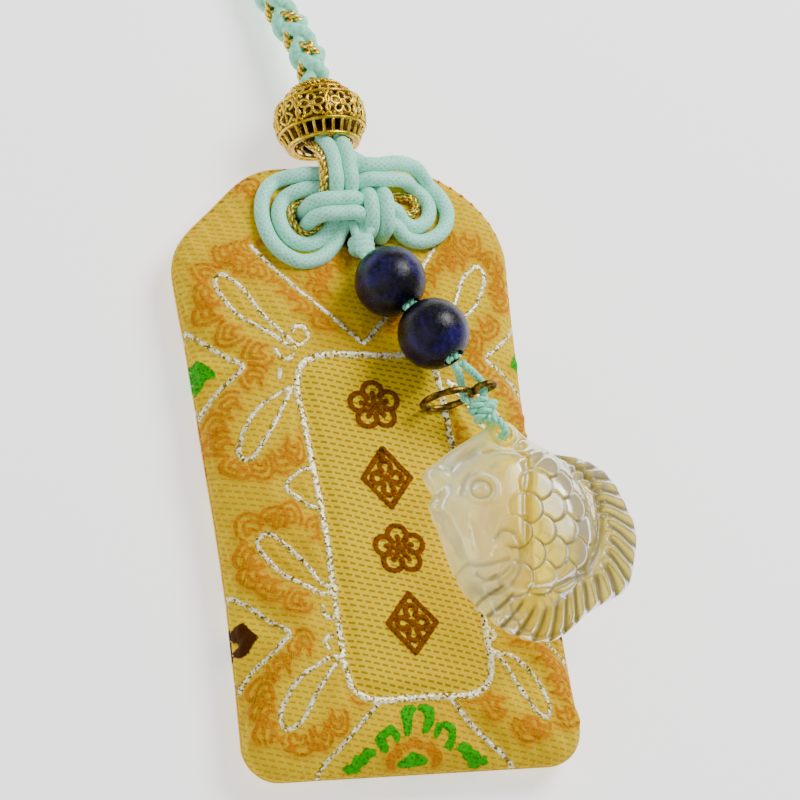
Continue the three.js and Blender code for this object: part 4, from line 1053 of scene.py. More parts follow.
def across_top(row):
    """To the right through the upper part of the knot."""
    return [(-5.6, row + 0.1, LOW - 0.3), (SECOND_COLUMN - 1, row, LOW), (LEFT_COLUMN, row, LOW),
            (OUTER_COLUMN, row, HIGH), (INNER_COLUMN, row, HIGH)]


def across_middle(row):
    """To the left through the middle of the knot, and down behind the pouch's front."""
    return [(INNER_COLUMN, row, LOW), (OUTER_COLUMN, row, LOW), (LEFT_COLUMN, row, HIGH),
            (SECOND_COLUMN, row, HIGH), (-3.9, row, HIGH - 0.2), (-5.2, row, HIGH - 1.5),
            (-5.5, row, LOW - 0.5), (-5.5, row, SEAM_HEIGHT), (-5.3, row, BACK_LEVEL + 0.9),
            (-4.3, row, BACK_LEVEL)]


def up_right(column, x, z):
    """Up from behind through a slot, through the knot and into the bead."""
    return [(column, 34.5, BACK_LEVEL), (column, 33.5, BACK_LEVEL + 1), (column, 33.4, SEAM_HEIGHT),
            (column, 33.4, LOW), (column, 33.8, HIGH - 1.1), (column, OUTER_ROW, HIGH),
            (column, INNER_ROW, HIGH), (column, INNER_TOP, LOW), (column, OUTER_TOP - 0.2, LOW),
            ((x + 3 * column) / 4, OUTER_TOP + 1.9, LOW - 1),
            ((2 * x + column) / 3, MOUTH - 1.2, z + 1.3), (x, MOUTH + 1.2, z + 0.2),
            (x, MOUTH + 3, z), (x, BORE_END, z)]


def on_cloth(radius, *spots):
    """Places of a cord that lies on the front; a third number lifts one of them."""
    return [resting_on(x, y, radius + (extra[0] if extra else 0)) - (0, 0, 0.2)
            for x, y, *extra in spots]


def outer_route():
    return [*from_bead(LEFT_COLUMN, 0.0, 8.2), (-0.9, 34.2, LOW - 0.5),
            *on_cloth(MINT_LAID, (-2.3, 32.0), (-4.6, 30.1), (-7.3, 29.6), (-9.6, 30.8), (-11.1, 32.8),
                      (-11.8, 35.3), (-11.8, 38.0), (-10.9, 40.7), (-9.0, 42.5)),
            *across_top(OUTER_TOP), (7.2, OUTER_TOP + 0.4, HIGH - 0.4),
            (9.3, OUTER_TOP + 0.7, LOW + 1.4), (11.4, 43.0, LOW + 0.1),
            *on_cloth(MINT_LAID, (13.6, 41.4), (15.0, 39.2), (15.5, 36.8), (14.5, 34.3), (12.4, 32.7),
                      (10.0, 32.3), (8.3, 33.0, 0.3)),
            (7.1, 34.4, LOW), *across_middle(OUTER_ROW), (-1.2, OUTER_ROW, BACK_LEVEL),
            (1.4, OUTER_ROW, BACK_LEVEL), *up_right(OUTER_COLUMN, -2.4, 5.8)]


def inner_route():
    return [*from_bead(SECOND_COLUMN, -2.4, 8.2), (-2.3, 34.8, LOW - 0.4),
            *on_cloth(MINT_LAID, (-3.9, 33.1), (-6.1, 32.3), (-8.2, 33.1), (-9.3, 35.2), (-9.4, 37.6),
                      (-8.2, 39.7)),
            *across_top(INNER_TOP), (7.0, INNER_TOP + 0.2, HIGH - 0.6),
            (9.0, INNER_TOP + 0.5, LOW + 1),
            *on_cloth(MINT_LAID, (11.0, 40.8, 0.3), (12.4, 39.4), (12.9, 37.6), (12.1, 35.6),
                      (10.3, 34.6), (8.6, 35.2, 0.4)),
            (7.3, 36.8, LOW + 0.1), *across_middle(INNER_ROW), (-1.2, INNER_ROW, BACK_LEVEL),
            (INNER_COLUMN - 1.6, INNER_ROW, BACK_LEVEL),
            (INNER_COLUMN, INNER_ROW - 1.7, BACK_LEVEL), *up_right(INNER_COLUMN, 0.0, 5.8)]


def gold_route():
    return [(-3.8, 53.3, 7.0), (-3.8, 50.2, 7.0), (-3.6, 48.2, 7.5), (-3.3, 46.2, LOW + 1),
            (-3.2, 44.6, LOW + 2.2), (-3.2, 42.6, LOW + 2.6), (-3.3, 40.4, LOW + 2.2),
            (-3.4, 38.4, LOW + 1.0), (-3.3, 36.8, LOW + 0.2), (-3.7, 35.5, GOLD_LEVEL + 0.6),
            *on_cloth(GOLD_LAID, (-4.7, 34.3), (-6.1, 34.1), (-7.3, 35.4), (-7.6, 36.9), (-7.1, 38.5),
                      (-5.6, 39.2)),
            (-3.6, KNOT_Y, GOLD_LEVEL), (0, KNOT_Y, GOLD_LEVEL), (4, KNOT_Y, GOLD_LEVEL),
            (7.0, 39.2, GOLD_LEVEL),
            *on_cloth(GOLD_LAID, (9.0, 39.5, 0.3), (10.6, 39.2, 0.4), (11.0, 37.9, 0.4),
                      (10.2, 36.8, 0.4), (8.9, 36.8, 0.3), (7.2, 36.4)),
            (5.0, 35.4, GOLD_LEVEL), (2.6, 35.0, GOLD_LEVEL), (1.4, 34.4, GOLD_LEVEL - 0.1),
            (0.9, 33.4, 6.2), (0.7, 33.1, 5.2), (-0.3, 32.7, 4.7), (-1.7, 32.3, 4.65)]


def mint_radius(line):
    """The mint cords are squeezed in the bead's bore and in the pouch's slots."""
    in_bore = smoothstep(line[:, 1], MOUTH - 1.5, MOUTH + 1.5)
    through = (1 - smoothstep(line[:, 2], 2.5, 5.5)) * (line[:, 1] < TOP)
    return MINT_RADIUS - 0.23 * in_bore - 0.18 * through


def knot_cords():
    for name, node, route in (("outer_mint_cord", "outer_knot_cord", outer_route()),
                              ("inner_mint_cord", "inner_knot_cord", inner_route())):
        line = spaced(spline(route), 0.3)
        shape = Shape()
        add_tube(shape, line, mint_radius(line), 20)
        shape.finish(name, "pouch", "mint_cord", [MINT], node)
    shape = Shape()
    add_plies(shape, spline(gold_route()), 3, 0.34, 3.0)
    shape.finish("gold_twisted_cord", "pouch", "gold_cord", [GOLD_THREAD], "gold_cord")


# Filigree bead

BEAD_PROFILE = np.array([
    (-4.5, 5.0), (-4.1, 5.3), (-3.9, 5.45), (-2.6, 6.0), (-2.4, 6.35), (-1.1, 6.5), (0.6, 6.5),
    (1.7, 6.2), (2.0, 5.75), (3.0, 4.8), (3.2, 3.4), (4.2, 3.4), (4.5, 3.3)])
BEAD_SECTION = [(-4.45, 5.1), (-4.2, 5.25), (-4.1, 4.9), (-4.12, 4.3), (-4.3, 4.15), (-4.48, 4.3),
                (-4.5, 4.8), (-4.45, 5.1)]
# A shell of dark brass inside the band: painted shade, so that the openwork shows dark behind its wires.
BEAD_SHADE_SHELL = [(-2.3, 5.35), (-1.0, 5.55), (0.6, 5.55), (1.6, 5.3), (1.6, 5.1), (0.6, 5.35),
              (-1.0, 5.35), (-2.3, 5.15), (-2.3, 5.35)]
BEAD_SLEEVE = [(-4.4, 3.2), (-4.2, 3.12), (-2.0, 3.1), (2.0, 3.1), (3.2, 3.1), (4.4, 3.12),
               (4.4, 2.95), (3.2, 2.95), (2.0, 2.95), (-2.0, 2.95), (-4.2, 2.95), (-4.4, 3.0),
               (-4.4, 3.2)]
FIELDS, BAND_RADIUS, BLOSSOM_HEIGHT = 9, 6.3, -0.35


def round_axis(turn, y, radius):
    """Places round the bead's own axis, from turns, heights along it and radii."""
    turn, y, radius = np.broadcast_arrays(turn, y, radius)
    return np.stack([radius * np.sin(turn), y, radius * np.cos(turn)], -1) + BEAD_CENTRE


def on_bead(turn, y, inset=0.0):
    """A place on the bead's wall, from its turn about the axis and its height along it."""
    return round_axis(turn, y, np.interp(y, *BEAD_PROFILE.T) - inset)


def lathe(shape, section, count, mark=0):
    """Turns a section of (height, radius) pairs round the bead's axis."""
    y, radius = np.array(section).T[:, :, None]
    shape.grid(round_axis(circle(count), y, radius), mark=mark)


def band_wire(shape, points, thick, inset=0.15, closed=False):
    """A wire on the bead's band; its points are mm round the band and along the axis."""
    flat = flat_spline(points, closed, 5)
    flat = np.concatenate([flat, flat[:1]]) if closed else flat
    line = on_bead(flat[:, 0] / BAND_RADIUS, flat[:, 1], inset)
    add_tube(shape, line, thick, 7, caps=not closed)


def wire_blossom(shape, middle):
    """Five petals of bent wire round an eye."""
    for degrees in (90, 18, 162, 234, 306):
        c, s = polar(0, 0, 1, degrees)
        loop = []
        for turn in circle(10):
            out = 1.75 * (1 - math.cos(turn)) / 2
            aside = 0.62 * math.sin(turn) * (0.35 + 0.65 * math.sin(turn / 2))
            loop.append((middle + c * out - s * aside,
                         BLOSSOM_HEIGHT + s * out * 0.95 + c * aside))
        band_wire(shape, loop, 0.2, closed=True)
    eye = np.stack(polar(middle, BLOSSOM_HEIGHT, 0.35, np.degrees(circle(6))), 1)
    band_wire(shape, eye, 0.2, 0.0, True)


def wire_scrolls(shape, middle):
    """Two scrolls that mirror each other, a curl in each, and a wavy stem between them."""
    for side in (-1, 1):
        spiral = [(middle + side * (0.15 + (1.35 - 0.5 * q) * math.sin(4.6 * q) * (1 - 0.35 * q)),
                   -2.2 + 3.7 * q - 0.54 * (1 - math.cos(4.6 * q)) * q) for q in np.linspace(0, 1, 9)]
        band_wire(shape, spiral, 0.21)
        curl = [(middle + side * (0.95 + r * math.cos(a)), 0.65 + r * math.sin(a))
                for a, r in zip(np.linspace(-1.6, 5.4, 12), np.linspace(0.85, 0.22, 12))]
        band_wire(shape, curl, 0.2)
    stem = [(middle, -2.3), (middle + 0.12, -1.0), (middle - 0.1, 0.4), (middle, 1.6)]
    band_wire(shape, stem, 0.2)


def bead_rims(shape):
    """Wire hoops, the lower rim, a dark shell inside the band that is painted shade behind the openwork,
    and the rows of bars between the hoops.
    """
    for y, thick in ((-4.35, 0.32), (-2.45, 0.26), (1.75, 0.26), (3.0, 0.3)):
        add_tube(shape, on_bead(np.linspace(0, 2 * math.pi, 97), y, 0.2), thick, 8, caps=False)
    lathe(shape, BEAD_SECTION, 72)
    # The dark shell of painted shade behind the openwork.
    lathe(shape, BEAD_SHADE_SHELL, 72, mark=1)
    for turn in circle(26):
        add_tube(shape, on_bead(turn, np.linspace(-4.3, -2.5, 6), 0.22), 0.25, 7)
        y = np.linspace(1.75, 3.0, 5)
        add_tube(shape, on_bead(turn + 0.05 * (y - 1.75), y, 0.24), 0.22, 6)


def bead_band(shape):
    """Blossoms and scrolls in turn, with crossed wires and grains between them."""
    width = 2 * math.pi * BAND_RADIUS / FIELDS
    for k in range(FIELDS):
        middle = (k + 0.35) * width
        if k % 2 == 0:
            wire_blossom(shape, middle)
        else:
            wire_scrolls(shape, middle)
        edge = middle + width / 2
        for way, thick in ((1, 0.24), (-1, 0.22)):
            bent = [(-0.5, -2.3), (0.25, -1.2), (-0.25, 0.2), (0.4, 1.6)]
            band_wire(shape, [(edge + way * x, y) for x, y in bent], thick)
        for x, y in ((edge, -0.45), (edge - 0.75, 1.1), (edge + 0.75, 1.1), (edge - 0.8, -1.9),
                     (edge + 0.8, -1.9), (middle, BLOSSOM_HEIGHT)):
            ball(shape, on_bead(x / BAND_RADIUS, y, 0.12), 0.27)


def bead_crown(shape):
    """Leaf loops on the shoulder, two ropes at the mouth, and the sleeve that the cords fill."""
    leaf = circle(14)
    for turn in circle(14):
        loop = round_axis(turn + 0.17 * np.sin(leaf), 3.05 + 0.12 * np.sin(leaf),
                          4.1 + 0.72 * np.cos(leaf))
        add_tube(shape, np.concatenate([loop, loop[:1]]), 0.2, 6, caps=False)
    for y in (3.45, 4.15):
        rope = round_axis(np.linspace(0, 2 * math.pi, 121), y, 3.35)
        add_plies(shape, rope, 2, 0.23, 1.3, 6, step=0.16)
    lathe(shape, BEAD_SLEEVE, 48, mark=1)


def filigree_bead():
    shape = Shape()
    bead_rims(shape)
    bead_band(shape)
    bead_crown(shape)
    shape.finish("filigree_openwork_bead", "bead", "filigree", [GILT, BRASS], "filigree_bead")


def ball(shape, centre, radius, wide=10, high=6, flat=1.0):
    """A small sphere; flat squeezes its height."""
    up = np.linspace(-np.pi / 2, np.pi / 2, high + 1)[1:-1, None]
    rows = np.stack(np.broadcast_arrays(np.cos(up) * np.cos(circle(wide)),
                                        np.cos(up) * np.sin(circle(wide)), np.sin(up)), 2)
    tip = np.array([0, 0, radius * flat])
    first = shape.grid(rows * (radius, radius, radius * flat) + centre)
    shape.fan(centre - tip, first + np.arange(wide), flip=True)
    shape.fan(centre + tip, first + (len(up) - 1) * wide + np.arange(wide))


# Braided strap

BINDING = np.array([-4.8, 84.0, 3.35])
EYE_AXIS = unit([-0.2, 1.0, 0.0])
EYE_SIDE = np.array([EYE_AXIS[1], -EYE_AXIS[0], 0.0])
LEG = 2.85
BRAID_PITCH = 11.5
WHIP_TURNS, WHIP_START, WHIP_END, WHIP_REACH, WHIP_CORD = 9, -2.72, 1.72, 3.02, 0.29


def in_eye(along, across):
    """A place in the plane of the hanging eye, measured from the binding."""
    return BINDING + EYE_AXIS * along + EYE_SIDE * across


def strap_route():
    """Out of the bead, along to the binding, round the hanging eye and back to the binding."""
    radius, neck, neck_start = 11.0, 12.0, 3.0
    sideways = LEG + neck
    centre = neck_start + math.sqrt((radius + neck) ** 2 - sideways ** 2)
    lean = math.atan2(sideways, centre - neck_start)
    bends = [(neck_start + neck * math.sin(a), sideways - neck * math.cos(a))
             for a in np.linspace(0, math.pi / 2 - lean, 4)]
    ring = [in_eye(centre + radius * math.cos(a), radius * math.sin(a))
            for a in np.linspace(math.pi + lean, 3 * math.pi - lean, 15)[1:-1]]
    return [(-1.2, 56.3, 7.0), (-1.2, 59.0, 7.0), (-1.6, 62.1, 6.6), (-2.4, 65.2, 5.9),
            (-3.6, 69.0, 4.7), (-4.9, 73.4, 3.7), in_eye(-6, -LEG), in_eye(-4, -LEG), in_eye(0, -LEG),
            *[in_eye(along, -across) for along, across in bends], *ring,
            *[in_eye(along, across) for along, across in bends[::-1]], in_eye(0, LEG), in_eye(-4, LEG)]


def braided_strap():
    """Four strands laid up as a round braid, and the line that they follow."""
    line = spaced(spline(strap_route()), 0.3)
    _, normal, side = frames_along(line)
    wave = 2 * np.pi * np.arange(len(line)) * np.linalg.norm(line[1] - line[0]) / BRAID_PITCH
    shape = Shape()

    def strand(turn, reach, radius, mark):
        centre = line + reach[:, None] * (normal * np.cos(turn)[:, None]
                                          + side * np.sin(turn)[:, None])
        add_tube(shape, centre, radius, 12, mark=mark)

    for way in (1, -1):
        over = way * np.cos(2 * wave)
        for k in range(2):
            turn = way * wave + np.pi * k
            strand(turn, 1.28 + 0.46 * over, 1.0, 0)
            strand(turn + np.pi / 2, 1.62 - 0.3 * over, 0.5, 1)
    materials = [MINT_THREAD, GOLD_THREAD]
    return shape.finish("four_strand_braid", "strap", "strap_cord", materials, "braided_strap"), line


def strap_whipping():
    """The turns of gold cord that bind the strap's two legs."""
    shape = Shape()
    around = np.linspace(0, 2 * math.pi, 41)
    for at in np.linspace(WHIP_START, WHIP_END, WHIP_TURNS):
        across = (np.copysign(LEG, np.cos(around)) * np.minimum(1, np.abs(np.cos(around)) * 6)
                  + WHIP_REACH * np.cos(around))
        loop = [in_eye(at, c) + (0, 0, WHIP_REACH * math.sin(a)) for a, c in zip(around, across)]
        add_tube(shape, loop, WHIP_CORD, 7, caps=False)
    return shape.finish("gold_whipping", "strap", "gold_cord", [GOLD_THREAD], "strap_whipping")


# Dangle

STONE_LINE = unit([0.4, -0.87, 0.27])
STONE_RADIUS, BORE_MOUTH = 5.0, 1.45
UPPER_STONE = resting_on(3.4, 24.4, STONE_RADIUS)
LOWER_STONE = UPPER_STONE + STONE_LINE * 10.3
THREAD_SIDE = unit([-STONE_LINE[1], STONE_LINE[0], 0])
THREAD_ASIDE = 0.62
TIE = resting_on(1.1, 31.0, 2.5)
LINK_WAIST = np.array([12.44, 7.3, 14.75])
LINK_DIRECTION = unit([0.851, 0.108, 0.514])
LINK_UP = unit(np.cross([0.126, -0.991, 0], LINK_DIRECTION))
LINK_NORMAL = unit(np.cross(LINK_DIRECTION, LINK_UP))
LUG = np.array([15.9, 0.6, 14.5])
DROP_LINE = unit(LUG - LINK_WAIST)
DROP_SIDE = unit([-DROP_LINE[1], DROP_LINE[0], 0])
DROP_UP = np.cross(DROP_SIDE, DROP_LINE)
DROP_KNOT = LUG - DROP_LINE * 4.5


def dangle_tie():
    """Two cord ends that come down into a small wrapped knot, with one short tail."""
    shape = Shape()
    for offset in (-0.62, 0.62):
        neck = spline([(1.2 + offset, 34.9, LOW + 0.7), (1.2 + offset, 33.9, LOW + 0.95),
                       TIE + (offset * 0.7, 1.2, 0.1), TIE + (offset * 0.5, -0.4, 0.1)])
        add_tube(shape, spaced(neck, 0.3), 0.68, 14)
    turns = np.linspace(0, 1, 90)
    angle = 2 * math.pi * 2.4 * turns
    wrap = np.stack([1.12 * np.cos(angle), 1.05 - 2.1 * turns, 1.05 * np.sin(angle)], 1)
    add_tube(shape, TIE + wrap, 0.78, 14)
    tail = spline([TIE + (0.8, 1.3, 0.6), TIE + (1.3, 2.0, 1.0), TIE + (1.7, 2.3, 0.9)])
    add_tube(shape, spaced(tail, 0.25), 0.6, 12)
    shape.finish("mint_tie_knot", "pouch", "mint_cord", [MINT], "dangle_tie")


def stones():
    """Two balls, each with a bore and a small chamfer at its mouths."""
    bore = math.asin(BORE_MOUTH / STONE_RADIUS)
    rim = math.sqrt(STONE_RADIUS ** 2 - BORE_MOUTH ** 2)
    up = np.linspace(-np.pi / 2 + bore + 0.03, np.pi / 2 - bore - 0.03, 44)
    outer = [(STONE_RADIUS * math.sin(a), STONE_RADIUS * math.cos(a)) for a in up]
    profile = np.array([(-rim + 0.1, 1.5), *outer, (rim - 0.1, 1.5), (rim - 0.5, 1.42), (0, 1.42),
                        (-rim + 0.5, 1.42), (-rim + 0.1, 1.5)])
    across = unit(np.cross(STONE_LINE, [0, 0, 1]))
    above = np.cross(across, STONE_LINE)
    turn = circle(72)[:, None]
    round_bore = across * np.cos(turn) + above * np.sin(turn)
    rows = STONE_LINE * profile[:, :1, None] + profile[:, 1:, None] * round_bore
    for level, centre in (("upper", UPPER_STONE), ("lower", LOWER_STONE)):
        shape = Shape()
        shape.grid(centre + rows)
        shape.finish(level + "_lapis_stone", level + "_stone", "lapis", [LAPIS], level + "_lapis_bead")


def bead_threads():
    top = TIE + unit([0.15, -0.8, 0.58]) * 1.6
    for hand, side in (("left", -1), ("right", 1)):
        shift = THREAD_SIDE * side * THREAD_ASIDE
        route = [top + shift] + [UPPER_STONE + STONE_LINE * d + shift
                                 for d in (-5.1, -4.2, 0, 10.3, 15.3)]
        shape = Shape()
        add_plies(shape, spline(route), 2, 0.3, 1.9, phase=side, step=0.2)
        shape.finish(hand + "_bead_thread", "upper_dangle", "mint_cord", [MINT_THREAD],
                     "bead_thread_" + hand)


# Each ring of the link: its middle from the waist, its outer and its inner radius.
LINK_RINGS = ((-3.6, 4.0, 3.1), (1.9, 1.8, 1.05))


def brass_link():
    """A flat figure-8 ring, a little dented, with a boss at its waist."""
    shape = Shape()
    c, s = np.cos(circle(16)), np.sin(circle(16))
    for offset, outer, inner in LINK_RINGS:
        middle, half = (outer + inner) / 2, (outer - inner) / 2
        rows = []
        for t in circle(64):
            out = LINK_DIRECTION * math.cos(t) + LINK_UP * math.sin(t)
            dent = 1 + 0.05 * math.sin(7 * t) + 0.04 * math.sin(11 * t + 1)
            radial = half * dent * np.sign(c) * np.abs(c) ** 0.8
            deep = 0.45 * dent * np.sign(s) * np.abs(s) ** 0.8
            rows.append(LINK_WAIST + LINK_DIRECTION * offset + out * (middle + radial[:, None])
                        + LINK_NORMAL * deep[:, None])
        shape.grid(rows + rows[:1])
    ball(shape, LINK_WAIST + LINK_DIRECTION * 0.22, 0.62, 14, 9, flat=0.9)
    shape.finish("brass_gourd_ring", "link", "link", [BRASS], "brass_gourd_link")


def strand_points(side, hold, up):
    """One strand from the lower stone through the link and the knot to the fish's lug."""
    beside = DROP_SIDE * side
    start = LOWER_STONE + STONE_LINE * 5.75 + THREAD_SIDE * side * THREAD_ASIDE
    held = LINK_WAIST + LINK_DIRECTION * hold
    return [start, start + STONE_LINE * 0.7, held - LINK_NORMAL * 0.9, held, held + LINK_NORMAL * 0.7,
            DROP_KNOT - DROP_LINE * 1.0 + beside * 0.55, DROP_KNOT + DROP_LINE * 1.0 + beside * 0.5,
            LUG - DROP_LINE * 2.4 + (0, 0, up * 1.55) + beside * 0.3,
            LUG - DROP_LINE * 1.5 + (0, 0, up * 2.1)]


def drop_threads():
    """The doubled thread down to the fish, and the overhand knot above it."""
    route = (strand_points(-1, -1.25, 1) + [LUG + (0, 0, 1.7), LUG, LUG - (0, 0, 1.7)]
             + strand_points(1, 1.6, -1)[::-1])
    turns = np.linspace(0, 1, 80)[:, None]
    angle = 2 * math.pi * 1.7 * turns + 0.6
    wrap = (DROP_KNOT + DROP_LINE * (1.15 - 2.3 * turns) + DROP_SIDE * (1.5 * np.cos(angle))
            + DROP_UP * (1.15 * np.sin(angle)))
    thread, knot = Shape(), Shape()
    add_plies(thread, spline(route), 2, 0.31, 1.9, step=0.2)
    add_plies(knot, wrap, 2, 0.38, 2.2, 9, step=0.2)
    for shape, name, node in ((thread, "doubled_drop_thread", "drop_thread"),
                              (knot, "tight_overhand_knot", "overhand_knot")):
        shape.finish(name, "lower_dangle", "mint_cord", [MINT_THREAD], node)


# Crystal fish

FISH_MIDDLE = np.array([15.3, -13.2])
TAILWARDS = unit([0.85, -0.52])
FISH_HALF_SIZE, FISH_HALF_THICK = (11.4, 13.6), 5.6
FIN_THICK, FIN_THIN, FIN_RIBS = 2.4, 0.9, 42
SCALE_STEP, SCALE_WIDTH, SCALE_RADIUS = 2.9, 3.9, 2.5
EYE = (9.9, -8.6)
LUG_RADIUS, DRILL_RADIUS, DRILL_ENDS = 2.4, 1.2, (10.0, 19.0)
ROUND_FROM = 0.945
FISH_OUTLINE = np.array([
    (-3.2, 0.6), (-1.6, 1.6), (1.6, 1.6), (3.0, -0.2), (7.7, -3.1), (9.6, -3.4), (13.4, -5.2),
    (15.3, -7.7), (16.8, -12.0), (17.4, -15.2), (16.1, -19.9), (14.8, -22.9), (11.4, -24.7),
    (8.2, -26.3), (5.6, -28.4), (1.9, -30.1), (-2.0, -29.1), (-5.3, -26.8), (-7.0, -23.8),
    (-8.6, -20.9), (-9.8, -15.8), (-10.8, -11.6), (-10.9, -7.6), (-10.0, -3.6), (-6.1, -0.9)])
LIPS = [(-10.7, -5.6, 1.7), (-10.6, -9.9, 1.6)]
GILL = [(17.0, -5.2), (16.8, -7.4), (15.9, -10.0), (15.2, -14.0), (14.6, -17.3), (13.3, -19.9),
        (10.8, -21.9)]
FIN_EDGE = [(23.4, -2.6), (24.9, -3.8), (26.3, -5.7), (27.5, -8.2), (27.8, -10.9), (27.5, -13.6),
            (26.6, -16.5), (24.9, -19.4), (22.0, -21.3), (19.0, -22.7), (15.3, -23.1), (12.6, -22.5)]
CARVED = [
    [(11.5, -2.9), (14.1, -2.6), (16.2, -3.1), (17.5, -4.0)],
    [(17.9, -5.4), (19.4, -4.1), (21.2, -3.0)],
    [(6.2, -18.4), (6.9, -20.2), (7.8, -21.5), (9.1, -22.7), (10.3, -23.2), (12.1, -22.4),
     (13.2, -21.0), (13.8, -19.4), (13.9, -17.0), (13.2, -15.4), (11.7, -14.9), (10.7, -15.9)],
    [(6.9, -18.6), (7.8, -19.1), (9.1, -19.3), (10.8, -19.1), (12.3, -18.9)],
    [(8.0, -20.3), (8.9, -21.1), (10.1, -21.3), (11.3, -20.8), (12.2, -20.0)],
    [(12.4, -24.6), (12.9, -25.8), (13.8, -27.0), (15.3, -28.2), (17.4, -28.8), (20.4, -28.0),
     (22.4, -26.4)],
    [(7.2, -8.9), (7.8, -7.4), (8.9, -6.1)],
]


def scale_spots():
    """Centres of the scales in overlapping rows, from the gill to the fin's inner edge."""
    across = unit([0.52, 0.85])
    ring = flat_spline(GILL + FIN_EDGE[::-1], True, 6)
    spots = []
    for i in range(6):
        for j in range(-4, 5):
            spot = (15.6, -11.8) + TAILWARDS * SCALE_STEP * i + across * SCALE_WIDTH * (j + i % 2 / 2)
            if within(spot[None], ring)[0] or i == 0 and abs(j) < 2:
                spots.append(spot)
    return spots


def fish_reach(angle):
    """How far the fish's edge is from its middle on each ray."""
    reach = reach_of(flat_spline(FISH_OUTLINE + LUG[:2], True, 20) - FISH_MIDDLE, angle)
    ray = np.stack([np.cos(angle), np.sin(angle)], 1)
    for x, y, radius in [*LIPS, (0, 0, LUG_RADIUS)]:
        to = np.array([x, y]) + LUG[:2] - FISH_MIDDLE
        along = ray @ to
        inside = radius ** 2 - (to @ to - along ** 2)
        met = np.where((inside > 0) & (along > 0), along + np.sqrt(np.maximum(inside, 0)), 0)
        reach = np.maximum(reach, met)
    soften = np.exp(-0.5 * (np.arange(-9, 10) / 4.0) ** 2)
    padded = np.concatenate([reach[-9:], reach, reach[:9]])
    return np.convolve(padded, soften / soften.sum(), "valid")


def near(distance, width):
    """1 at a line and falling off to 0 beside it."""
    return np.exp(-(distance / width) ** 2)


def far_from(points, lines):
    return line_distance(points, [flat_spline(line, per=6) for line in lines], 3.0)


def scale_relief(points):
    """How high the overlapping scales stand at each point, and how near it is to their outlines."""
    height, outline = np.zeros(len(points)), np.zeros(len(points))
    free = np.ones(len(points), bool)
    for spot in scale_spots():
        away = points - spot
        distance, tailward = np.hypot(*away.T), away @ TAILWARDS
        mine = free & (distance < SCALE_RADIUS)
        plate = (0.1 + 0.7 * np.clip(0.5 + tailward / (2 * SCALE_RADIUS), 0, 1)
                 - 0.3 * smoothstep(distance, 2.0, SCALE_RADIUS))
        height = np.where(mine, plate, height)
        line = near(distance - 2.4, 0.22) * smoothstep(tailward, -1.2, 1.0)
        outline = np.where(mine, line, outline)
        free &= ~mine
    return height, outline


def fish_half(points, share, angle):
    """Half the crystal's thickness at each point, and how deep the carving is there."""
    x, y = points.T
    dx, dy = ((points - FISH_MIDDLE) / FISH_HALF_SIZE).T
    body = FISH_HALF_THICK * np.sqrt(np.maximum(0, 1 - (dx * dx + dy * dy) ** 1.4))
    on_body = smoothstep(body, 1.6, 3.0)
    on_fin = smoothstep(np.cos(angle + 0.75), -0.1, 0.25) * smoothstep(share, 0.7, 0.78)
    rays = np.cos(FIN_RIBS * (angle + 0.6 * (share - 0.8)))
    fin = FIN_THICK - (FIN_THICK - FIN_THIN) * smoothstep(share, 0.75, 1) + 0.42 * on_fin * rays
    edge = near(far_from(points, [FIN_EDGE]), 0.5)
    gill = near(far_from(points, [GILL]), 0.6)
    cuts = near(far_from(points, CARVED), 0.32)
    scales, outline = scale_relief(points)
    half = np.maximum(body, fin) - 0.8 * edge + scales * on_body - 0.35 * gill - 0.45 * cuts
    eye = np.hypot(x - EYE[0], y - EYE[1])
    half += 0.36 * near(eye - 2.0, 0.38) + 0.45 * (1 - smoothstep(eye, 0.5, 1.05))
    half -= 0.3 * near(eye - 1.35, 0.3)
    for lip_x, lip_y, radius in LIPS:
        half += 0.75 * near(np.hypot(x - LUG[0] - lip_x, y - LUG[1] - lip_y), 0.85 * radius)
    lug = np.hypot(x - LUG[0], y - LUG[1])
    half = 0.5 + (half - 0.5) * smoothstep(lug, 1.2, 4.2)
    lens = 0.5 + 0.8 * (1 - smoothstep(lug, 1.5, LUG_RADIUS))
    half = np.where(lug < LUG_RADIUS, np.maximum(half, lens), half)
    rounding = np.clip((share - ROUND_FROM) / (1 - ROUND_FROM), 0, 1)
    ribs = on_fin * smoothstep(-rays, 0.1, 0.95)
    # carved also says where the crystal's material paints shade into the grooves.
    carved = np.max([ribs, 0.9 * edge * smoothstep(x, 14, 22), outline * on_body, 0.5 * gill,
                     0.6 * cuts, 0.7 * near(eye - 1.35, 0.25)], axis=0)
    return half * np.sqrt(np.maximum(0, 1 - rounding ** 2)), carved


def drilled(piece):
    """Cuts the lug's hole through the crystal."""
    tool = Shape()
    ends = [[(*polar(*LUG[:2], DRILL_RADIUS, np.degrees(a)), z) for a in circle(40)] for z in DRILL_ENDS]
    ring = tool.grid(ends) + np.arange(40)
    for k, z in enumerate(DRILL_ENDS):
        tool.fan((*LUG[:2], z), ring + 40 * k, flip=k == 0)
    drill = tool.piece("drill")
    cut = piece.modifiers.new("hole", "BOOLEAN")
    cut.object = drill
    cut.solver = "EXACT"
    bpy.context.view_layer.update()
    made = bpy.data.meshes.new_from_object(
        piece.evaluated_get(bpy.context.evaluated_depsgraph_get()))
    piece.modifiers.clear()
    piece.data = made
    bpy.data.objects.remove(drill)


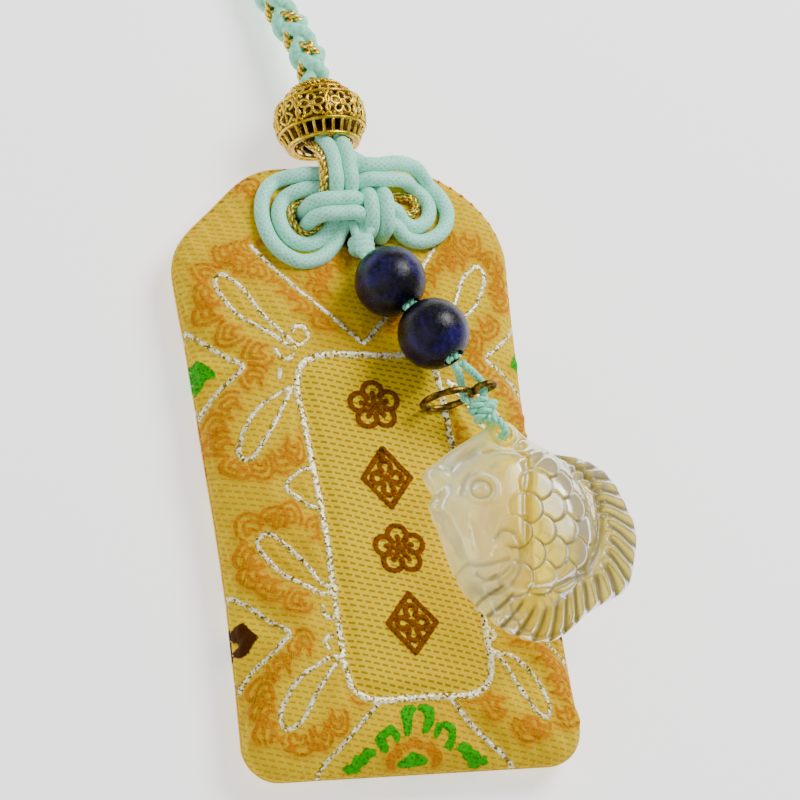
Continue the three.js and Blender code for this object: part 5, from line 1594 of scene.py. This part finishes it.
def crystal_fish():
    """Two carved halves, mirrored at the lug's height, in rings in from the outline."""
    count = 540
    angle = circle(count)
    rounded = ROUND_FROM + (1 - ROUND_FROM) * np.sin(np.linspace(0, math.pi / 2, 9))
    shares = np.concatenate([np.linspace(0.02, ROUND_FROM, 84, endpoint=False), rounded])
    s, a = np.repeat(shares, count), np.tile(angle, len(shares))
    r = np.tile(fish_reach(angle), len(shares)) * s
    points = FISH_MIDDLE + np.stack([r * np.cos(a), r * np.sin(a)], 1)
    half, carved = fish_half(points, s, a)
    top, bottom = [np.column_stack([points, LUG[2] + way * half]).reshape(-1, count, 3)
                   for way in (1, -1)]
    carved = carved.reshape(-1, count)
    shape = Shape()
    ring = shape.grid(np.concatenate([top, bottom[-2::-1]])) + np.arange(count)
    shape.fan(top[0].mean(0), ring)
    shape.fan(bottom[0].mean(0), ring + 2 * (len(shares) - 1) * count, flip=True)
    piece = shape.piece("carved_quartz_fish")
    layer = piece.data.attributes.new("carved", "FLOAT", "POINT")
    depth = np.concatenate([carved, carved[-2::-1]]).ravel()
    values = np.zeros(len(piece.data.vertices), np.float32)
    values[:len(depth)] = depth
    layer.data.foreach_set("value", values)
    drilled(piece)
    finish_piece(piece, "fish", "crystal", [CRYSTAL], "crystal_fish")


# Inside the pouch

def inner_pieces():
    """The padding, card and slip keep their solids and get a material."""
    for name, base, dark, scale in (
            ("front_wadding", (246, 242, 230), (222, 214, 196), 0.9),
            ("stiffener_card", (190, 166, 128), (158, 134, 98), 1.6),
            ("prayer_slip", (250, 246, 232), (232, 222, 198), 1.2)):
        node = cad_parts[name]
        node.data.materials.clear()
        node.data.materials.append(paper_look(name, base, dark, scale))


# Floor and lights

def studio():
    corners = [(-900, -900, 0), (900, -900, 0), (900, 900, 0), (-900, 900, 0)]
    floor = new_object("floor", corners, [(0, 1, 2, 3)], uvs=[(0, 0), (1, 0), (1, 1), (0, 1)])
    look = Look("pale_floor", Roughness=0.9, Specular_IOR_Level=0.1,
                Emission_Color=(1.0, 1.0, 1.0, 1.0), Emission_Strength=1.0)
    mottle = look.noise(look.place(), 0.01, 3)
    look.set(Base_Color=look.ramp(mottle, (0.3, 250, 250, 249), (0.7, 253, 253, 253)))
    floor.data.materials.append(look.material)
    world = bpy.data.worlds.new("studio")
    world.use_nodes = True
    background = world.node_tree.nodes["Background"].inputs
    background[0].default_value = (1.0, 0.99, 0.97, 1)
    background[1].default_value = 0.44
    bpy.context.scene.world = world
    for name, spot, size, power in (
            ("main_light", (270, 250, 420), 300, 3.8), ("fill_light", (-500, -160, 420), 800, 1.1)):
        data = bpy.data.lights.new(name, "AREA")
        data.shape = "DISK"
        data.size = size * MM
        data.energy = power
        lamp = bpy.data.objects.new(name, data)
        bpy.context.scene.collection.objects.link(lamp)
        lamp.location = Vector(spot) * MM
        lamp.rotation_euler = (Vector((0, 0, 0.008)) - lamp.location).to_track_quat("-Z", "Y").to_euler()


strap, strap_line = braided_strap()
tuple(strap_line[0] * MM)
[tuple(p * MM) for p in strap_line[::3]]
strap_whipping()
pouch_front()
pouch_back()
seam_stitches()
knot_cords()
filigree_bead()
dangle_tie()
stones()
bead_threads()
brass_link()
drop_threads()
crystal_fish()
inner_pieces()
studio()
